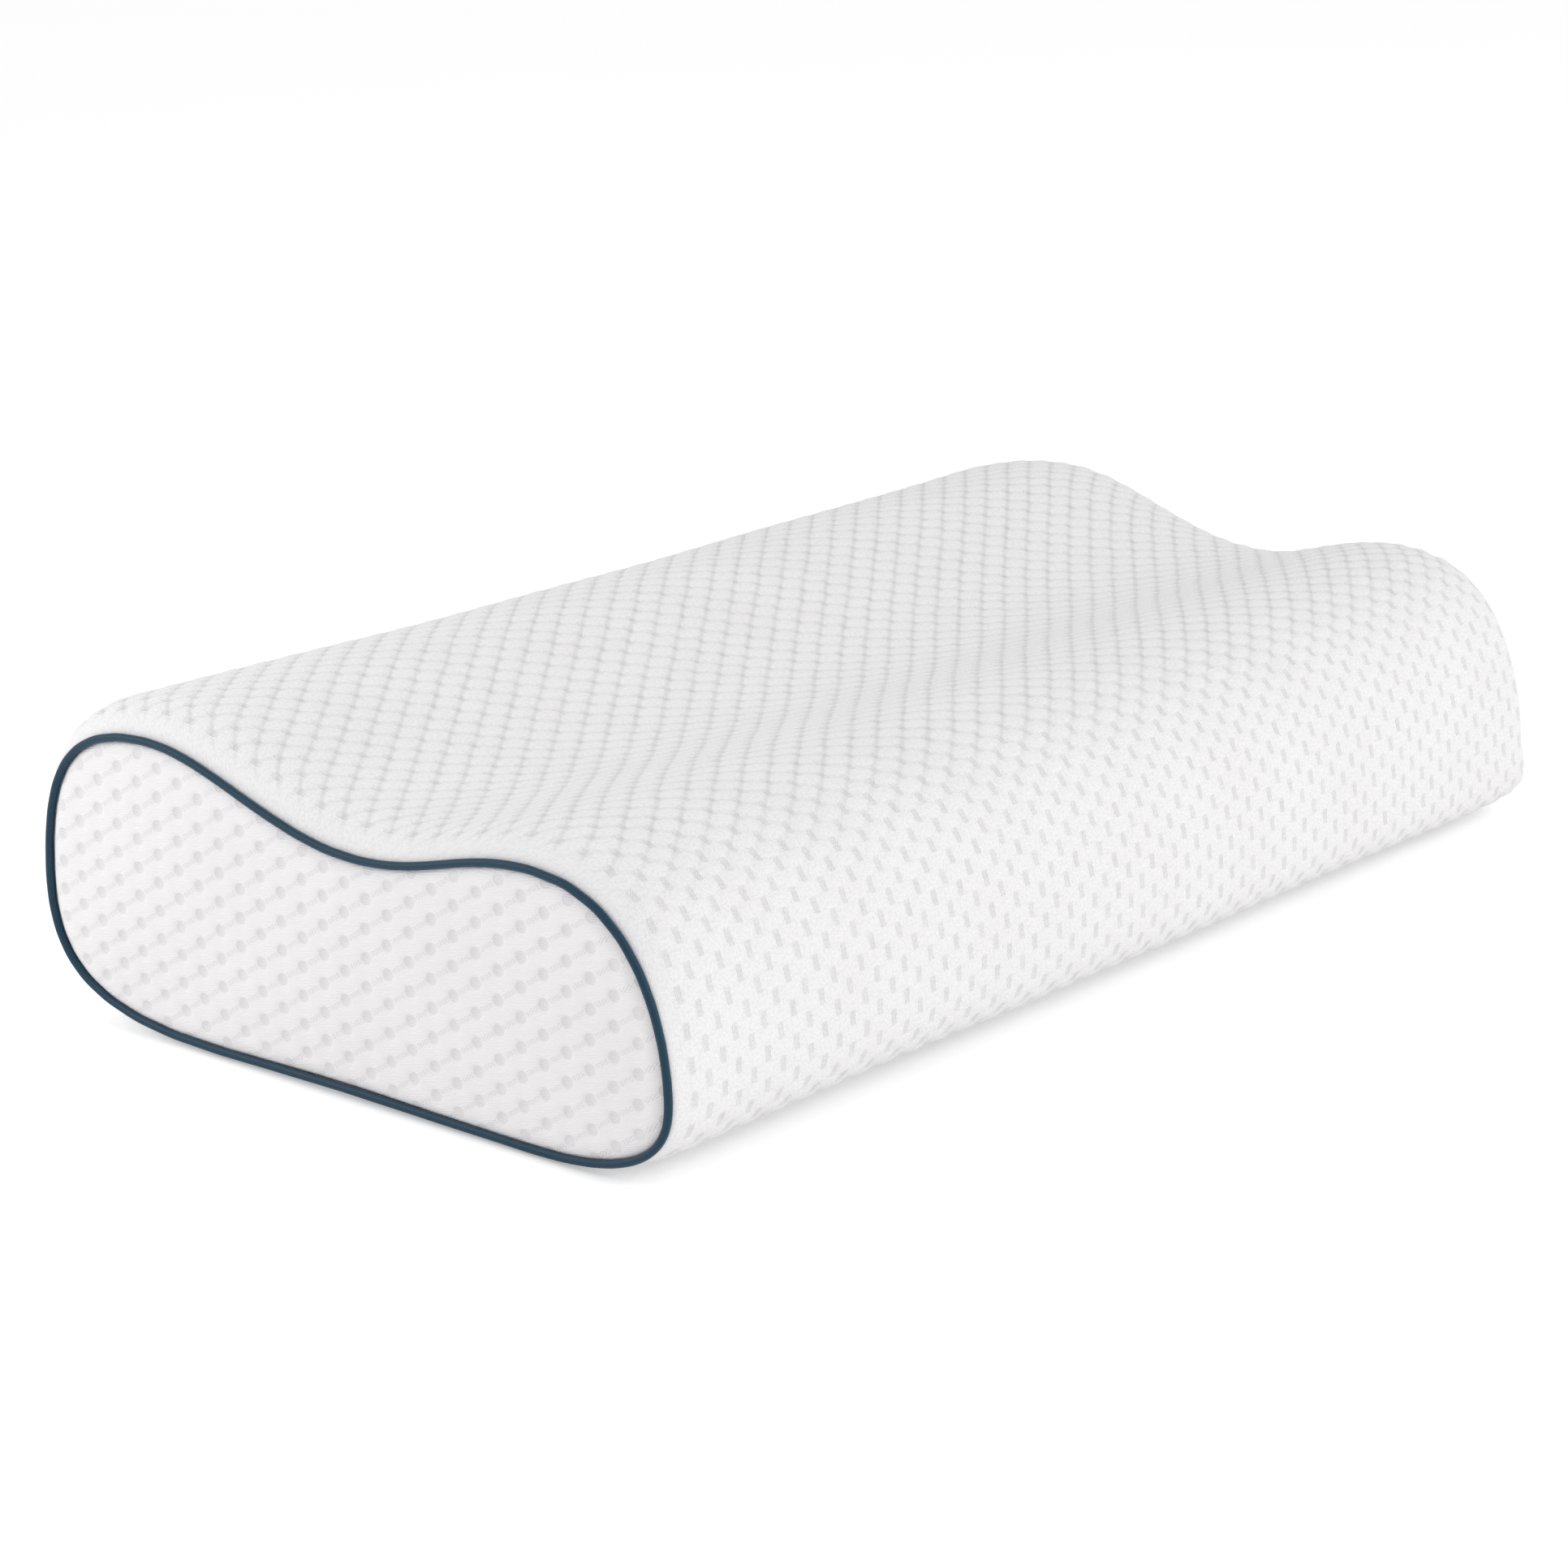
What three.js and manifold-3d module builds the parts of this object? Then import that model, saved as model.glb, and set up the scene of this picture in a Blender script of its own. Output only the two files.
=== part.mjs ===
// Contour bed pillow: a foam core in a thin liner, inside a quilted zip-off cover with piped end panels.
// Millimetres. X runs along the pillow, -Y is the low front lobe, +Y the high back lobe, +Z is up.
// The origin is on the surface that the pillow lies on, under the middle of its outline.
import * as THREE from "three";
import { mergeVertices } from "three/addons/utils/BufferGeometryUtils.js";
import Module from "manifold-3d";

// Overall size of the dressed pillow
const pillowLength = 600;
const pillowDepth = 330;

// The section across the pillow: heights above the bottom, setbacks from the front or the back face
const backCrestHeight = 126;
const backCrestSetback = 69;
const dipHeight = 102;
const dipSetback = 152;
const frontCrestHeight = 115;
const frontCrestSetback = 66;
const backBulgeHeight = 54;
const frontBulgeHeight = 32;
const bottomBackSetback = 103;
const bottomFrontSetback = 65;

// How full each curve of the section is at its start and end, as a share of the curve's own run
const lowerBackFullness = [0.8, 0.65];
const upperBackFullness = [0.63, 0.8];
const backSlopeFullness = [0.3, 0.43];
const frontSlopeFullness = [0.43, 0.4];
const upperFrontFullness = [0.8, 0.36];
const lowerFrontFullness = [0.66, 0.66];

// The wrap rounds over each end of the core, down to the outline of the end panel
const endRoundLength = 24;
const endInsetTop = 9;
const endInsetBack = 13;
const endInsetFront = 3;
const endInsetBottom = 3;

// Layers
const coverThickness = 2.4;
const linerThickness = 0.8;
const layerGap = 0.3;
const panelRecess = 0.6;
const coreEaseLength = 6;
const zipSpaceBehindCover = 4.5;

// Piping: a satin tape folded round a filler cord, with its two legs in the seam
const pipingRadius = 1.6;
const pipingTapeThickness = 0.45;
const pipingLegSlit = 0.3;
const pipingLegLength = 5;

// Zip, low on the back face
const zipCurveShare = 0.85;
const zipLength = 500;
const zipSlotMargin = 2;
const zipSlotWidth = 8.8;
const zipTapeWidth = 8.5;
const zipTapeThickness = 0.6;
const zipTapeTail = 14;
const zipTapeDepth = 4.4;
const zipCoilWidth = 1.8;
const zipCoilHeight = 1.3;
const zipCentreGap = 1.2;
const zipStopLength = 3;
const zipStopHeight = 1.6;
const zipStopWidth = 2;

// Zip slider and pull
const sliderLength = 9;
const sliderWidth = 7.6;
const sliderPlateThickness = 0.8;
const sliderNeckLength = 2.5;
const sliderNeckWidth = 0.6;
const sliderRimWidth = 0.7;
const archSpan = 5.4;
const archThickness = 0.8;
const archWidth = 1.4;
const pullLength = 24;
const pullWidth = 5;
const pullTipWidth = 6.4;
const pullThickness = 1;
const pullArmWidth = 1.2;
const pullEyeLength = 4.2;
const movingGap = 0.3;

// Care label, sewn in above the zip on the inside of the cover
const labelWidth = 35;
const labelHeight = 24;
const labelThickness = 0.6;
const labelAboveTape = 4;
const labelFromMiddle = 150;
const labelDepth = 4.4;

// Fineness of the facets
const bottomSteps = 5;
const curveSteps = 8;
const roundShares = [0, 0.12, 0.3, 0.6, 1];
const pipingSides = 10;
const cordSides = 8;

const wasm = await Module();
wasm.setup();

function fabric(color, roughness) {
  return new THREE.MeshStandardMaterial({ color, roughness, metalness: 0 });
}

const materials = {
  knit: fabric("#f1f0f2", 0.9),
  mesh: fabric("#ecebed", 0.85),
  satin: fabric("#2d4553", 0.45),
  filler: fabric("#e6e2d8", 0.9),
  foam: fabric("#f3ead2", 0.95),
  liner: fabric("#f7f7f5", 0.9),
  tape: fabric("#f0f0f0", 0.85),
  coil: fabric("#f4f4f4", 0.4),
  label: fabric("#fbfbfb", 0.5),
  metal: new THREE.MeshStandardMaterial({ color: "#b9bcc0", roughness: 0.3, metalness: 1 }),
};

const pillow = new THREE.Group();

function addPiece(name, geometry, material, parent = pillow) {
  const piece = new THREE.Mesh(geometry, material);
  piece.name = name;
  parent.add(piece);
  return piece;
}

// ---- Solids for joining and cutting

// The same surface with each corner's points merged into one
function mergedCorners(geometry) {
  const bare = geometry.clone();
  bare.deleteAttribute("normal");
  bare.deleteAttribute("uv");
  return mergeVertices(bare, 1e-4);
}

function toSolid(geometry) {
  const merged = mergedCorners(geometry);
  return new wasm.Manifold(
    new wasm.Mesh({
      numProp: 3,
      vertProperties: merged.attributes.position.array,
      triVerts: new Uint32Array(merged.index.array),
    }),
  );
}

function toGeometry(solid) {
  const mesh = solid.getMesh();
  const geometry = new THREE.BufferGeometry();
  geometry.setAttribute("position", new THREE.BufferAttribute(mesh.vertProperties, 3));
  geometry.setIndex(new THREE.BufferAttribute(mesh.triVerts, 1));
  geometry.computeVertexNormals();
  return geometry;
}

function joined(geometries) {
  const solids = geometries.map(toSolid);
  return toGeometry(solids.reduce((whole, piece) => whole.add(piece)));
}

// A block between two corners
function block(low, high) {
  const [dx, dy, dz] = [0, 1, 2].map((k) => high[k] - low[k]);
  const [cx, cy, cz] = [0, 1, 2].map((k) => (high[k] + low[k]) / 2);
  return new THREE.BoxGeometry(dx, dy, dz).translate(cx, cy, cz);
}

// ---- The section outline

// The curves round the section, from the front end of the flat bottom and then over the back.
// share is how much of the end inset is applied, and backRelief moves the back face further in.
function sectionCurves(share = 0, backRelief = 0) {
  const front = -pillowDepth / 2 + share * endInsetFront;
  const back = pillowDepth / 2 - share * endInsetBack - backRelief;
  const bottom = share * endInsetBottom;
  const drop = share * endInsetTop;
  const at = (y, z) => new THREE.Vector2(y, z);
  const bottomFront = at(-pillowDepth / 2 + bottomFrontSetback, bottom);
  const bottomBack = at(pillowDepth / 2 - bottomBackSetback, bottom);
  const backBulge = at(back, backBulgeHeight);
  const backCrest = at(pillowDepth / 2 - backCrestSetback, backCrestHeight - drop);
  const dip = at(-pillowDepth / 2 + dipSetback, dipHeight - drop);
  const frontCrest = at(-pillowDepth / 2 + frontCrestSetback, frontCrestHeight - drop);
  const frontBulge = at(front, frontBulgeHeight);
  return [
    new THREE.LineCurve(bottomFront, bottomBack),
    smoothCurve(bottomBack, backBulge, "level", "upright", lowerBackFullness),
    smoothCurve(backBulge, backCrest, "upright", "level", upperBackFullness),
    smoothCurve(backCrest, dip, "level", "level", backSlopeFullness),
    smoothCurve(dip, frontCrest, "level", "level", frontSlopeFullness),
    smoothCurve(frontCrest, frontBulge, "level", "upright", upperFrontFullness),
    smoothCurve(frontBulge, bottomFront, "upright", "level", lowerFrontFullness),
  ];
}

// A curve that leaves its start and reaches its end either level or upright
function smoothCurve(start, end, startWay, endWay, [startFullness, endFullness]) {
  const run = end.clone().sub(start);
  const along = (way, length) =>
    way === "level" ? new THREE.Vector2(run.x * length, 0) : new THREE.Vector2(0, run.y * length);
  return new THREE.CubicBezierCurve(
    start,
    start.clone().add(along(startWay, startFullness)),
    end.clone().sub(along(endWay, endFullness)),
    end,
  );
}

function sectionOutline(share, backRelief) {
  return sectionCurves(share, backRelief).flatMap((curve, index) =>
    curve.getPoints(index === 0 ? bottomSteps : curveSteps).slice(0, -1),
  );
}

// The outline's points, each moved inwards by the same distance
function movedIn(outline, distance) {
  return outline.map((point, j) => {
    const before = outline.at(j - 1);
    const after = outline[(j + 1) % outline.length];
    const way = after.clone().sub(before).normalize();
    return new THREE.Vector2(point.x - way.y * distance, point.y + way.x * distance);
  });
}

// ---- Lofts along the pillow

const wrapEndDepth = 2 * pipingRadius + layerGap;

// The share of the end inset at each depth in from the end: 1 at the wrap's edge, 0 past the rounding
function insetShareAt(depth) {
  const along = Math.min(Math.max((depth - wrapEndDepth) / endRoundLength, 0), 1);
  const index = Math.max(roundShares.findIndex((share) => share >= along), 1);
  const [low, high] = [roundShares[index - 1], roundShares[index]];
  const quarterRound = (share) => 1 - Math.sqrt(1 - (1 - share) ** 2);
  return THREE.MathUtils.mapLinear(along, low, high, quarterRound(low), quarterRound(high));
}

const roundDepths = roundShares.map((share) => wrapEndDepth + share * endRoundLength);

// Rings from one end of the pillow to the other. Each stop gives a depth in from the end, the share
// of the end inset there, and how far inside that outline the ring lies.
function ringsFrom(stops, backRelief = 0) {
  const ring = ({ depth, share, inset }, side) => ({
    x: side * (pillowLength / 2 - depth),
    outline: movedIn(sectionOutline(share, backRelief), inset),
  });
  return [...stops.map((stop) => ring(stop, -1)), ...stops.toReversed().map((stop) => ring(stop, 1))];
}

// The quads between consecutive rings as triangles, with one row of vertices for each ring
function skin(positions, indices, rings) {
  const first = positions.length / 3;
  const count = rings[0].outline.length;
  rings.forEach(({ x, outline }) => outline.forEach((point) => positions.push(x, point.x, point.y)));
  for (let i = 0; i < rings.length - 1; i++) {
    for (let j = 0; j < count; j++) {
      const [a, b] = [first + i * count + j, first + i * count + ((j + 1) % count)];
      indices.push(a, b, b + count, a, b + count, a + count);
    }
  }
}

function indexedGeometry(positions, indices) {
  const geometry = new THREE.BufferGeometry();
  geometry.setAttribute("position", new THREE.Float32BufferAttribute(positions, 3));
  geometry.setIndex(indices);
  geometry.computeVertexNormals();
  return geometry;
}

// A solid through the rings, closed flat at both ends
function loftedSolid(rings) {
  const positions = [];
  const indices = [];
  skin(positions, indices, rings);
  const lastRow = (rings.length - 1) * rings[0].outline.length;
  THREE.ShapeUtils.triangulateShape(rings[0].outline, []).forEach(([a, b, c]) =>
    indices.push(a, c, b),
  );
  THREE.ShapeUtils.triangulateShape(rings.at(-1).outline, []).forEach(([a, b, c]) =>
    indices.push(lastRow + a, lastRow + b, lastRow + c),
  );
  return indexedGeometry(positions, indices);
}

// An open-ended sleeve between outer and inner rings
function sleeve(outerRings, innerRings) {
  const positions = [];
  const indices = [];
  skin(positions, indices, [...outerRings, ...innerRings.toReversed(), outerRings[0]]);
  return indexedGeometry(positions, indices);
}

// ---- Core: foam and liner

const coreInset = coverThickness + layerGap;
const coreEndDepth = panelRecess + coverThickness + layerGap;

// The core's edge is cut off by a slope that clears the piping's legs. On the slope, a point's depth
// and its inset from the end outline add up to slopeSum. Past it the core eases out to the full section.
const slopeSum = pipingRadius + Math.SQRT2 * (pipingRadius + pipingLegLength + layerGap);
const slopeEndDepth = slopeSum - coreInset;
const easeEndDepth = slopeEndDepth + coreEaseLength;

function coreShareAt(depth) {
  if (depth >= easeEndDepth) return insetShareAt(depth);
  const along = Math.max(depth, slopeEndDepth);
  return THREE.MathUtils.mapLinear(along, slopeEndDepth, easeEndDepth, 1, insetShareAt(easeEndDepth));
}

// The stops of a surface that lies layerDepth inside the core's outer surface
function coreStops(layerDepth) {
  const inset = coreInset + layerDepth;
  const ownSlopeSum = slopeSum + layerDepth * Math.SQRT2;
  const roundedDepths = roundDepths.filter((depth) => depth > easeEndDepth);
  const depths = new Set([
    coreEndDepth + layerDepth,
    slopeEndDepth,
    ownSlopeSum - inset,
    easeEndDepth,
    ...roundedDepths,
  ]);
  return [...depths].map((depth) => ({
    depth,
    share: coreShareAt(depth),
    inset: Math.max(inset, ownSlopeSum - depth),
  }));
}

function addCore() {
  const foamStops = coreStops(linerThickness + layerGap);
  addPiece("foam_core", loftedSolid(ringsFrom(foamStops, zipSpaceBehindCover)), materials.foam);
}

function addLiner() {
  const outerStops = coreStops(0);
  const innerStops = coreStops(linerThickness);
  const mouth = { depth: coreEndDepth, share: 1, inset: innerStops[0].inset + linerThickness };
  addPiece(
    "liner_sleeve",
    sleeve(
      ringsFrom(outerStops, zipSpaceBehindCover),
      ringsFrom([mouth, ...innerStops], zipSpaceBehindCover),
    ),
    materials.liner,
  );
  const outline = movedIn(sectionOutline(1, zipSpaceBehindCover), mouth.inset + layerGap);
  addEndPair("liner_end", materials.liner, (side) =>
    endDisc(side, coreEndDepth, linerThickness, outline, outline),
  );
}

// A pair of pieces, one at each end. make(side) builds one, with side -1 at the left and 1 at the right.
function addEndPair(name, material, make) {
  addPiece(`${name}_left`, make(-1), material);
  addPiece(`${name}_right`, make(1), material);
}

// A disc across one end, from its outer face to its inner face
function endDisc(side, depth, thickness, outerOutline, innerOutline) {
  const outer = { x: side * (pillowLength / 2 - depth), outline: outerOutline };
  const inner = { x: side * (pillowLength / 2 - depth - thickness), outline: innerOutline };
  return loftedSolid(side < 0 ? [outer, inner] : [inner, outer]);
}

// ---- Cover: wrap, end panels and piping

function addCoverWrap(slot) {
  const stopsAt = (depths, inset) =>
    depths.map((depth) => ({ depth, share: insetShareAt(depth), inset }));
  const bevelDepth = wrapEndDepth + coverThickness;
  const innerDepths = [bevelDepth, ...roundDepths.filter((depth) => depth > bevelDepth)];
  const outerStops = stopsAt(roundDepths, 0);
  const innerStops = stopsAt(innerDepths, coverThickness);
  const wrap = toSolid(sleeve(ringsFrom(outerStops), ringsFrom(innerStops)));
  addPiece("cover_wrap", toGeometry(wrap.subtract(toSolid(slot))), materials.knit);
}

function addEndPanels() {
  const outline = sectionOutline(1);
  const outerEdge = movedIn(outline, pipingRadius + layerGap);
  const innerEdge = movedIn(outline, pipingRadius + layerGap + coverThickness);
  addEndPair("end_panel", materials.mesh, (side) =>
    endDisc(side, panelRecess, coverThickness, outerEdge, innerEdge),
  );
}

// The folded tape's section: out is away from the pillow's middle, along is towards its other end.
// It starts at the tip of one leg, goes round the outside of the fold and back round the inside.
function pipingTapeSection() {
  const legOuter = pipingTapeThickness + pipingLegSlit / 2;
  const legInner = pipingLegSlit / 2;
  const arc = (radius, leg, sides) => {
    const start = Math.asin(leg / radius);
    const angles = Array.from({ length: sides + 1 }, (_, k) => start + (k / sides) * 2 * (Math.PI - start));
    return angles.map((angle) => new THREE.Vector2(radius * Math.cos(angle), radius * Math.sin(angle)));
  };
  const tip = pipingRadius + pipingLegLength;
  return [
    new THREE.Vector2(tip, legOuter),
    ...arc(pipingRadius, legOuter, pipingSides),
    new THREE.Vector2(tip, -legOuter),
    new THREE.Vector2(tip, -legInner),
    ...arc(pipingRadius - pipingTapeThickness, legInner, pipingSides).reverse(),
    new THREE.Vector2(tip, legInner),
  ];
}

function cordSection() {
  const radius = pipingRadius - pipingTapeThickness - layerGap;
  return new THREE.Path().absarc(0, 0, radius, 0, 2 * Math.PI).getSpacedPoints(cordSides).slice(0, -1);
}

// A closed ring that carries a section round the end panel's outline. The section's first axis
// slopes into the corner of the seam, half inwards and half along the pillow.
function pipingRing(section, side) {
  const outline = sectionOutline(1);
  const centreX = pillowLength / 2 - pipingRadius;
  const rings = section.map(({ x: into, y: across }) => ({
    x: side * (centreX - (into + across) * Math.SQRT1_2),
    outline: movedIn(outline, (into - across) * Math.SQRT1_2),
  }));
  const positions = [];
  const indices = [];
  skin(positions, indices, [...rings, rings[0]]);
  const solid = indexedGeometry(positions, indices);
  return turnedOutwards(solid);
}

// The same closed surface with its faces pointing out
function turnedOutwards(geometry) {
  const solid = toSolid(geometry);
  if (solid.volume() > 0) return toGeometry(solid);
  const flipped = mergedCorners(geometry);
  flipped.setIndex(Array.from(flipped.index.array).reverse());
  return toGeometry(toSolid(flipped));
}

function addPiping() {
  const tape = pipingTapeSection();
  const cord = cordSection();
  addEndPair("piping", materials.satin, (side) => pipingRing(tape, side));
  addEndPair("piping_cord", materials.filler, (side) => pipingRing(cord, side));
}

// ---- Zip. In its own frame X runs along the chain, Y points out of the cover and Z up across the tapes,
// with the origin on the cover's outer surface.

function zipFrame() {
  const lowerBack = sectionCurves()[1];
  const point = lowerBack.getPointAt(zipCurveShare);
  const way = lowerBack.getTangentAt(zipCurveShare);
  const frame = new THREE.Group();
  frame.position.set(0, point.x, point.y);
  frame.rotation.x = Math.atan2(way.y, way.x) - Math.PI / 2;
  frame.updateMatrix();
  return frame;
}

const chainHalf = zipLength / 2 - zipStopLength;
const sliderRestX = chainHalf - movingGap - sliderLength / 2;
const coilTop = -zipTapeDepth + movingGap + zipCoilHeight;

// The opening in the cover that shows the chain
function zipSlot(frame) {
  const halfLength = zipLength / 2 + zipSlotMargin;
  const depth = 3 * coverThickness;
  return block(
    [-halfLength, -depth, -zipSlotWidth / 2],
    [halfLength, depth, zipSlotWidth / 2],
  ).applyMatrix4(frame.matrix);
}

function addTapesAndCoils(frame) {
  const tapeHalf = zipLength / 2 + zipTapeTail;
  const inner = zipCentreGap / 2;
  const tape = block(
    [-tapeHalf, -zipTapeDepth - zipTapeThickness, inner],
    [tapeHalf, -zipTapeDepth, zipTapeWidth],
  );
  const coil = zipCoil(inner);
  addPiece("zip_tape_upper", tape, materials.tape, frame);
  addPiece("zip_tape_lower", mirroredAcross(tape), materials.tape, frame);
  addPiece("zip_coil_upper", coil, materials.coil, frame);
  addPiece("zip_coil_lower", mirroredAcross(coil), materials.coil, frame);
}

// A coil is stood in for by its envelope: a bar with its outer edges bevelled
function zipCoil(inner) {
  const bevel = zipCoilHeight / 4;
  const low = coilTop - zipCoilHeight;
  const section = new THREE.Shape([
    new THREE.Vector2(inner, low),
    new THREE.Vector2(inner + zipCoilWidth, low),
    new THREE.Vector2(inner + zipCoilWidth, coilTop - bevel),
    new THREE.Vector2(inner + zipCoilWidth - bevel, coilTop),
    new THREE.Vector2(inner, coilTop),
  ]);
  const length = 2 * (chainHalf - movingGap);
  return new THREE.ExtrudeGeometry(section, { depth: length, bevelEnabled: false })
    .rotateY(-Math.PI / 2)
    .translate(length / 2, 0, 0);
}

// The same piece on the other side of the chain, with its faces still pointing out
function mirroredAcross(geometry) {
  return turnedOutwards(geometry.clone().scale(1, 1, -1));
}

function addStops(frame) {
  const inner = zipCentreGap / 2;
  const low = -zipTapeDepth + movingGap;
  const top = low + zipStopHeight;
  const topStop = block([chainHalf, low, inner], [zipLength / 2, top, inner + zipStopWidth]);
  addPiece("zip_top_stop_upper", topStop, materials.metal, frame);
  addPiece("zip_top_stop_lower", mirroredAcross(topStop), materials.metal, frame);
  const reach = inner + zipStopWidth;
  const bottomStop = block([-zipLength / 2, low, -reach], [-chainHalf, top, reach]);
  addPiece("zip_bottom_stop", bottomStop, materials.metal, frame);
}

const topPlateLow = coilTop + movingGap;
const topPlateTop = topPlateLow + sliderPlateThickness;
const bottomPlateTop = -zipTapeDepth - zipTapeThickness - movingGap;
const pullAxisY = pullThickness / 2 + movingGap;

// The slider's two plates, the neck between the coils, its rims beside them and the arch for the pull
function addSlider(frame) {
  const [halfLength, halfWidth] = [sliderLength / 2, sliderWidth / 2];
  const plate = (low) =>
    block([-halfLength, low, -halfWidth], [halfLength, low + sliderPlateThickness, halfWidth]);
  const rim = (side) => {
    const edges = [side * halfWidth, side * (halfWidth - sliderRimWidth)].toSorted((a, b) => a - b);
    return block([-halfLength, -zipTapeDepth + movingGap, edges[0]], [halfLength, topPlateTop, edges[1]]);
  };
  const neck = block(
    [halfLength - sliderNeckLength, bottomPlateTop - sliderPlateThickness, -sliderNeckWidth / 2],
    [halfLength, topPlateTop, sliderNeckWidth / 2],
  );
  const slider = joined([
    plate(topPlateLow),
    plate(bottomPlateTop - sliderPlateThickness),
    rim(-1),
    rim(1),
    neck,
    arch(),
  ]);
  addPiece("zip_slider", slider.translate(sliderRestX, 0, 0), materials.metal, frame);
}

// The arch stands on the top plate along the chain, and the pull's end bar lies under it
function arch() {
  const headroom = pullThickness * Math.SQRT1_2 + movingGap;
  const [half, foot] = [archSpan / 2, topPlateTop - sliderPlateThickness / 2];
  const under = pullAxisY + headroom;
  const outline = new THREE.Shape()
    .moveTo(-half, foot)
    .lineTo(-half + archThickness, foot)
    .lineTo(-half + archThickness, under)
    .lineTo(half - archThickness, under)
    .lineTo(half - archThickness, foot)
    .lineTo(half, foot)
    .lineTo(half, under)
    .absarc(half - archThickness, under, archThickness, 0, Math.PI / 2)
    .absarc(-half + archThickness, under, archThickness, Math.PI / 2, Math.PI);
  return new THREE.ExtrudeGeometry(outline, { depth: archWidth, bevelEnabled: false, curveSegments: 3 })
    .translate(0, 0, -archWidth / 2);
}

// A flat tab that widens to a round tip, with an eye whose end bar is the hinge
function addPull(frame) {
  const bar = pullThickness / 2;
  const [half, tipHalf] = [pullWidth / 2, pullTipWidth / 2];
  const outline = new THREE.Shape()
    .moveTo(bar, -half)
    .lineTo(bar, half)
    .lineTo(-pullLength + tipHalf, tipHalf)
    .absarc(-pullLength + tipHalf, 0, tipHalf, Math.PI / 2, (3 * Math.PI) / 2);
  const eyeHalf = half - pullArmWidth;
  outline.holes.push(
    new THREE.Path()
      .moveTo(-bar, -eyeHalf)
      .lineTo(-pullEyeLength, -eyeHalf)
      .lineTo(-pullEyeLength, eyeHalf)
      .lineTo(-bar, eyeHalf),
  );
  const options = { depth: pullThickness, bevelEnabled: false, curveSegments: 8 };
  const pull = new THREE.ExtrudeGeometry(outline, options)
    .translate(0, 0, -pullThickness / 2)
    .rotateX(-Math.PI / 2)
    .translate(sliderRestX, pullAxisY, 0);
  addPiece("zip_pull", pull, materials.metal, frame);
}

function addZip(frame) {
  addTapesAndCoils(frame);
  addStops(frame);
  addSlider(frame);
  addPull(frame);
  pillow.add(frame);
}

function addCareLabel(frame) {
  const outer = pillowDepth / 2 - labelDepth;
  const bottom = frame.position.z + zipTapeWidth + labelAboveTape;
  const label = block(
    [labelFromMiddle, outer - labelThickness, bottom],
    [labelFromMiddle + labelWidth, outer, bottom + labelHeight],
  );
  addPiece("care_label", label, materials.label);
}

const frame = zipFrame();
addCore();
addLiner();
addCoverWrap(zipSlot(frame));
addEndPanels();
addPiping();
addZip(frame);
addCareLabel(frame);

export default pillow;
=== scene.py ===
"""A contour bed pillow: a knitted cover with piped end panels and a zip, over a lined foam core.

Metres throughout. Y points to the back, where the zip is.
"""

import math

import bmesh
import bpy
import numpy as np
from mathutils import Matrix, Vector
from mathutils.bvhtree import BVHTree


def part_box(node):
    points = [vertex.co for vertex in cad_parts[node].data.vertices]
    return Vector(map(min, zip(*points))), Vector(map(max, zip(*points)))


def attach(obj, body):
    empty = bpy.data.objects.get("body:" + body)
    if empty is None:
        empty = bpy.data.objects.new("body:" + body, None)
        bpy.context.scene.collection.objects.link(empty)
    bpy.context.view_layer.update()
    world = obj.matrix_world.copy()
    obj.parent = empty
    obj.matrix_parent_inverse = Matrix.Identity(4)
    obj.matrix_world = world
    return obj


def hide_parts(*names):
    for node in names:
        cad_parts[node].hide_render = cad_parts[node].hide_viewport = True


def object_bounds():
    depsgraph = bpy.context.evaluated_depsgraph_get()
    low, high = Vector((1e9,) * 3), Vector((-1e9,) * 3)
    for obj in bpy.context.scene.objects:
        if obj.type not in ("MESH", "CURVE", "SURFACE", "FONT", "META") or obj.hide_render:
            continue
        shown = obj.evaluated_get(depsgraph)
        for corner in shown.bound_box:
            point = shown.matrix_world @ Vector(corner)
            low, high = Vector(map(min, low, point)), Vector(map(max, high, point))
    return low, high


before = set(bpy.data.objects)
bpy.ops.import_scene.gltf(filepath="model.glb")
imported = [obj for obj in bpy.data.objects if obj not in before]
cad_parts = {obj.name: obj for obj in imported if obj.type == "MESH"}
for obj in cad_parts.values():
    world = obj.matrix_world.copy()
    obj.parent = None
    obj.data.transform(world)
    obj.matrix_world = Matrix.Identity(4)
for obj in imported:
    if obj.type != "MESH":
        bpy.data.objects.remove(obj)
cad_low, cad_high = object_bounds()

MM = 0.001
HALF_LENGTH = cad_high[0]

# The cushion's form, beyond what the solids in the frame give.
RAY_COUNT = 1440  # directions in which a section is read
SECTION_SOFTNESS = 3 * MM  # how far the facets of a section are smoothed out
MIDDLE_HEIGHT = 50 * MM  # the line inside the pillow that sections are read around
FULL_SECTION_X = 260 * MM  # a place where the cover has its whole section
LEFT_ROUNDING = 24 * MM  # how far from its end the cover begins to round over
RIGHT_ROUNDING = 58 * MM
END_LIFT = 4 * MM  # the crests sag this much between the ends
LIFT_START_HEIGHT = 50 * MM
LIFT_FULL_HEIGHT = 100 * MM
RIGHT_TAPER = 14 * MM  # how far the front is drawn in at the right end
TAPER_FULL_HEIGHT = 36 * MM
RIGHT_CORNER = 10 * MM  # the cover turns in over the right end, to a seam that lies this far inside
BACK_FULLNESS = 3 * MM  # how far the ends stand out at the back
STUFFING_WAVE = 0.5 * MM  # unevenness of the filling under the cover
RELIEF_UNDERNEATH = 0.25  # the share of its relief that the cover keeps where it rests
SPINE_HEIGHT = 55 * MM  # the line that the rings of an end close onto
SPINE_FROM_FRONT = 58 * MM
SPINE_FROM_BACK = 56 * MM

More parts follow.
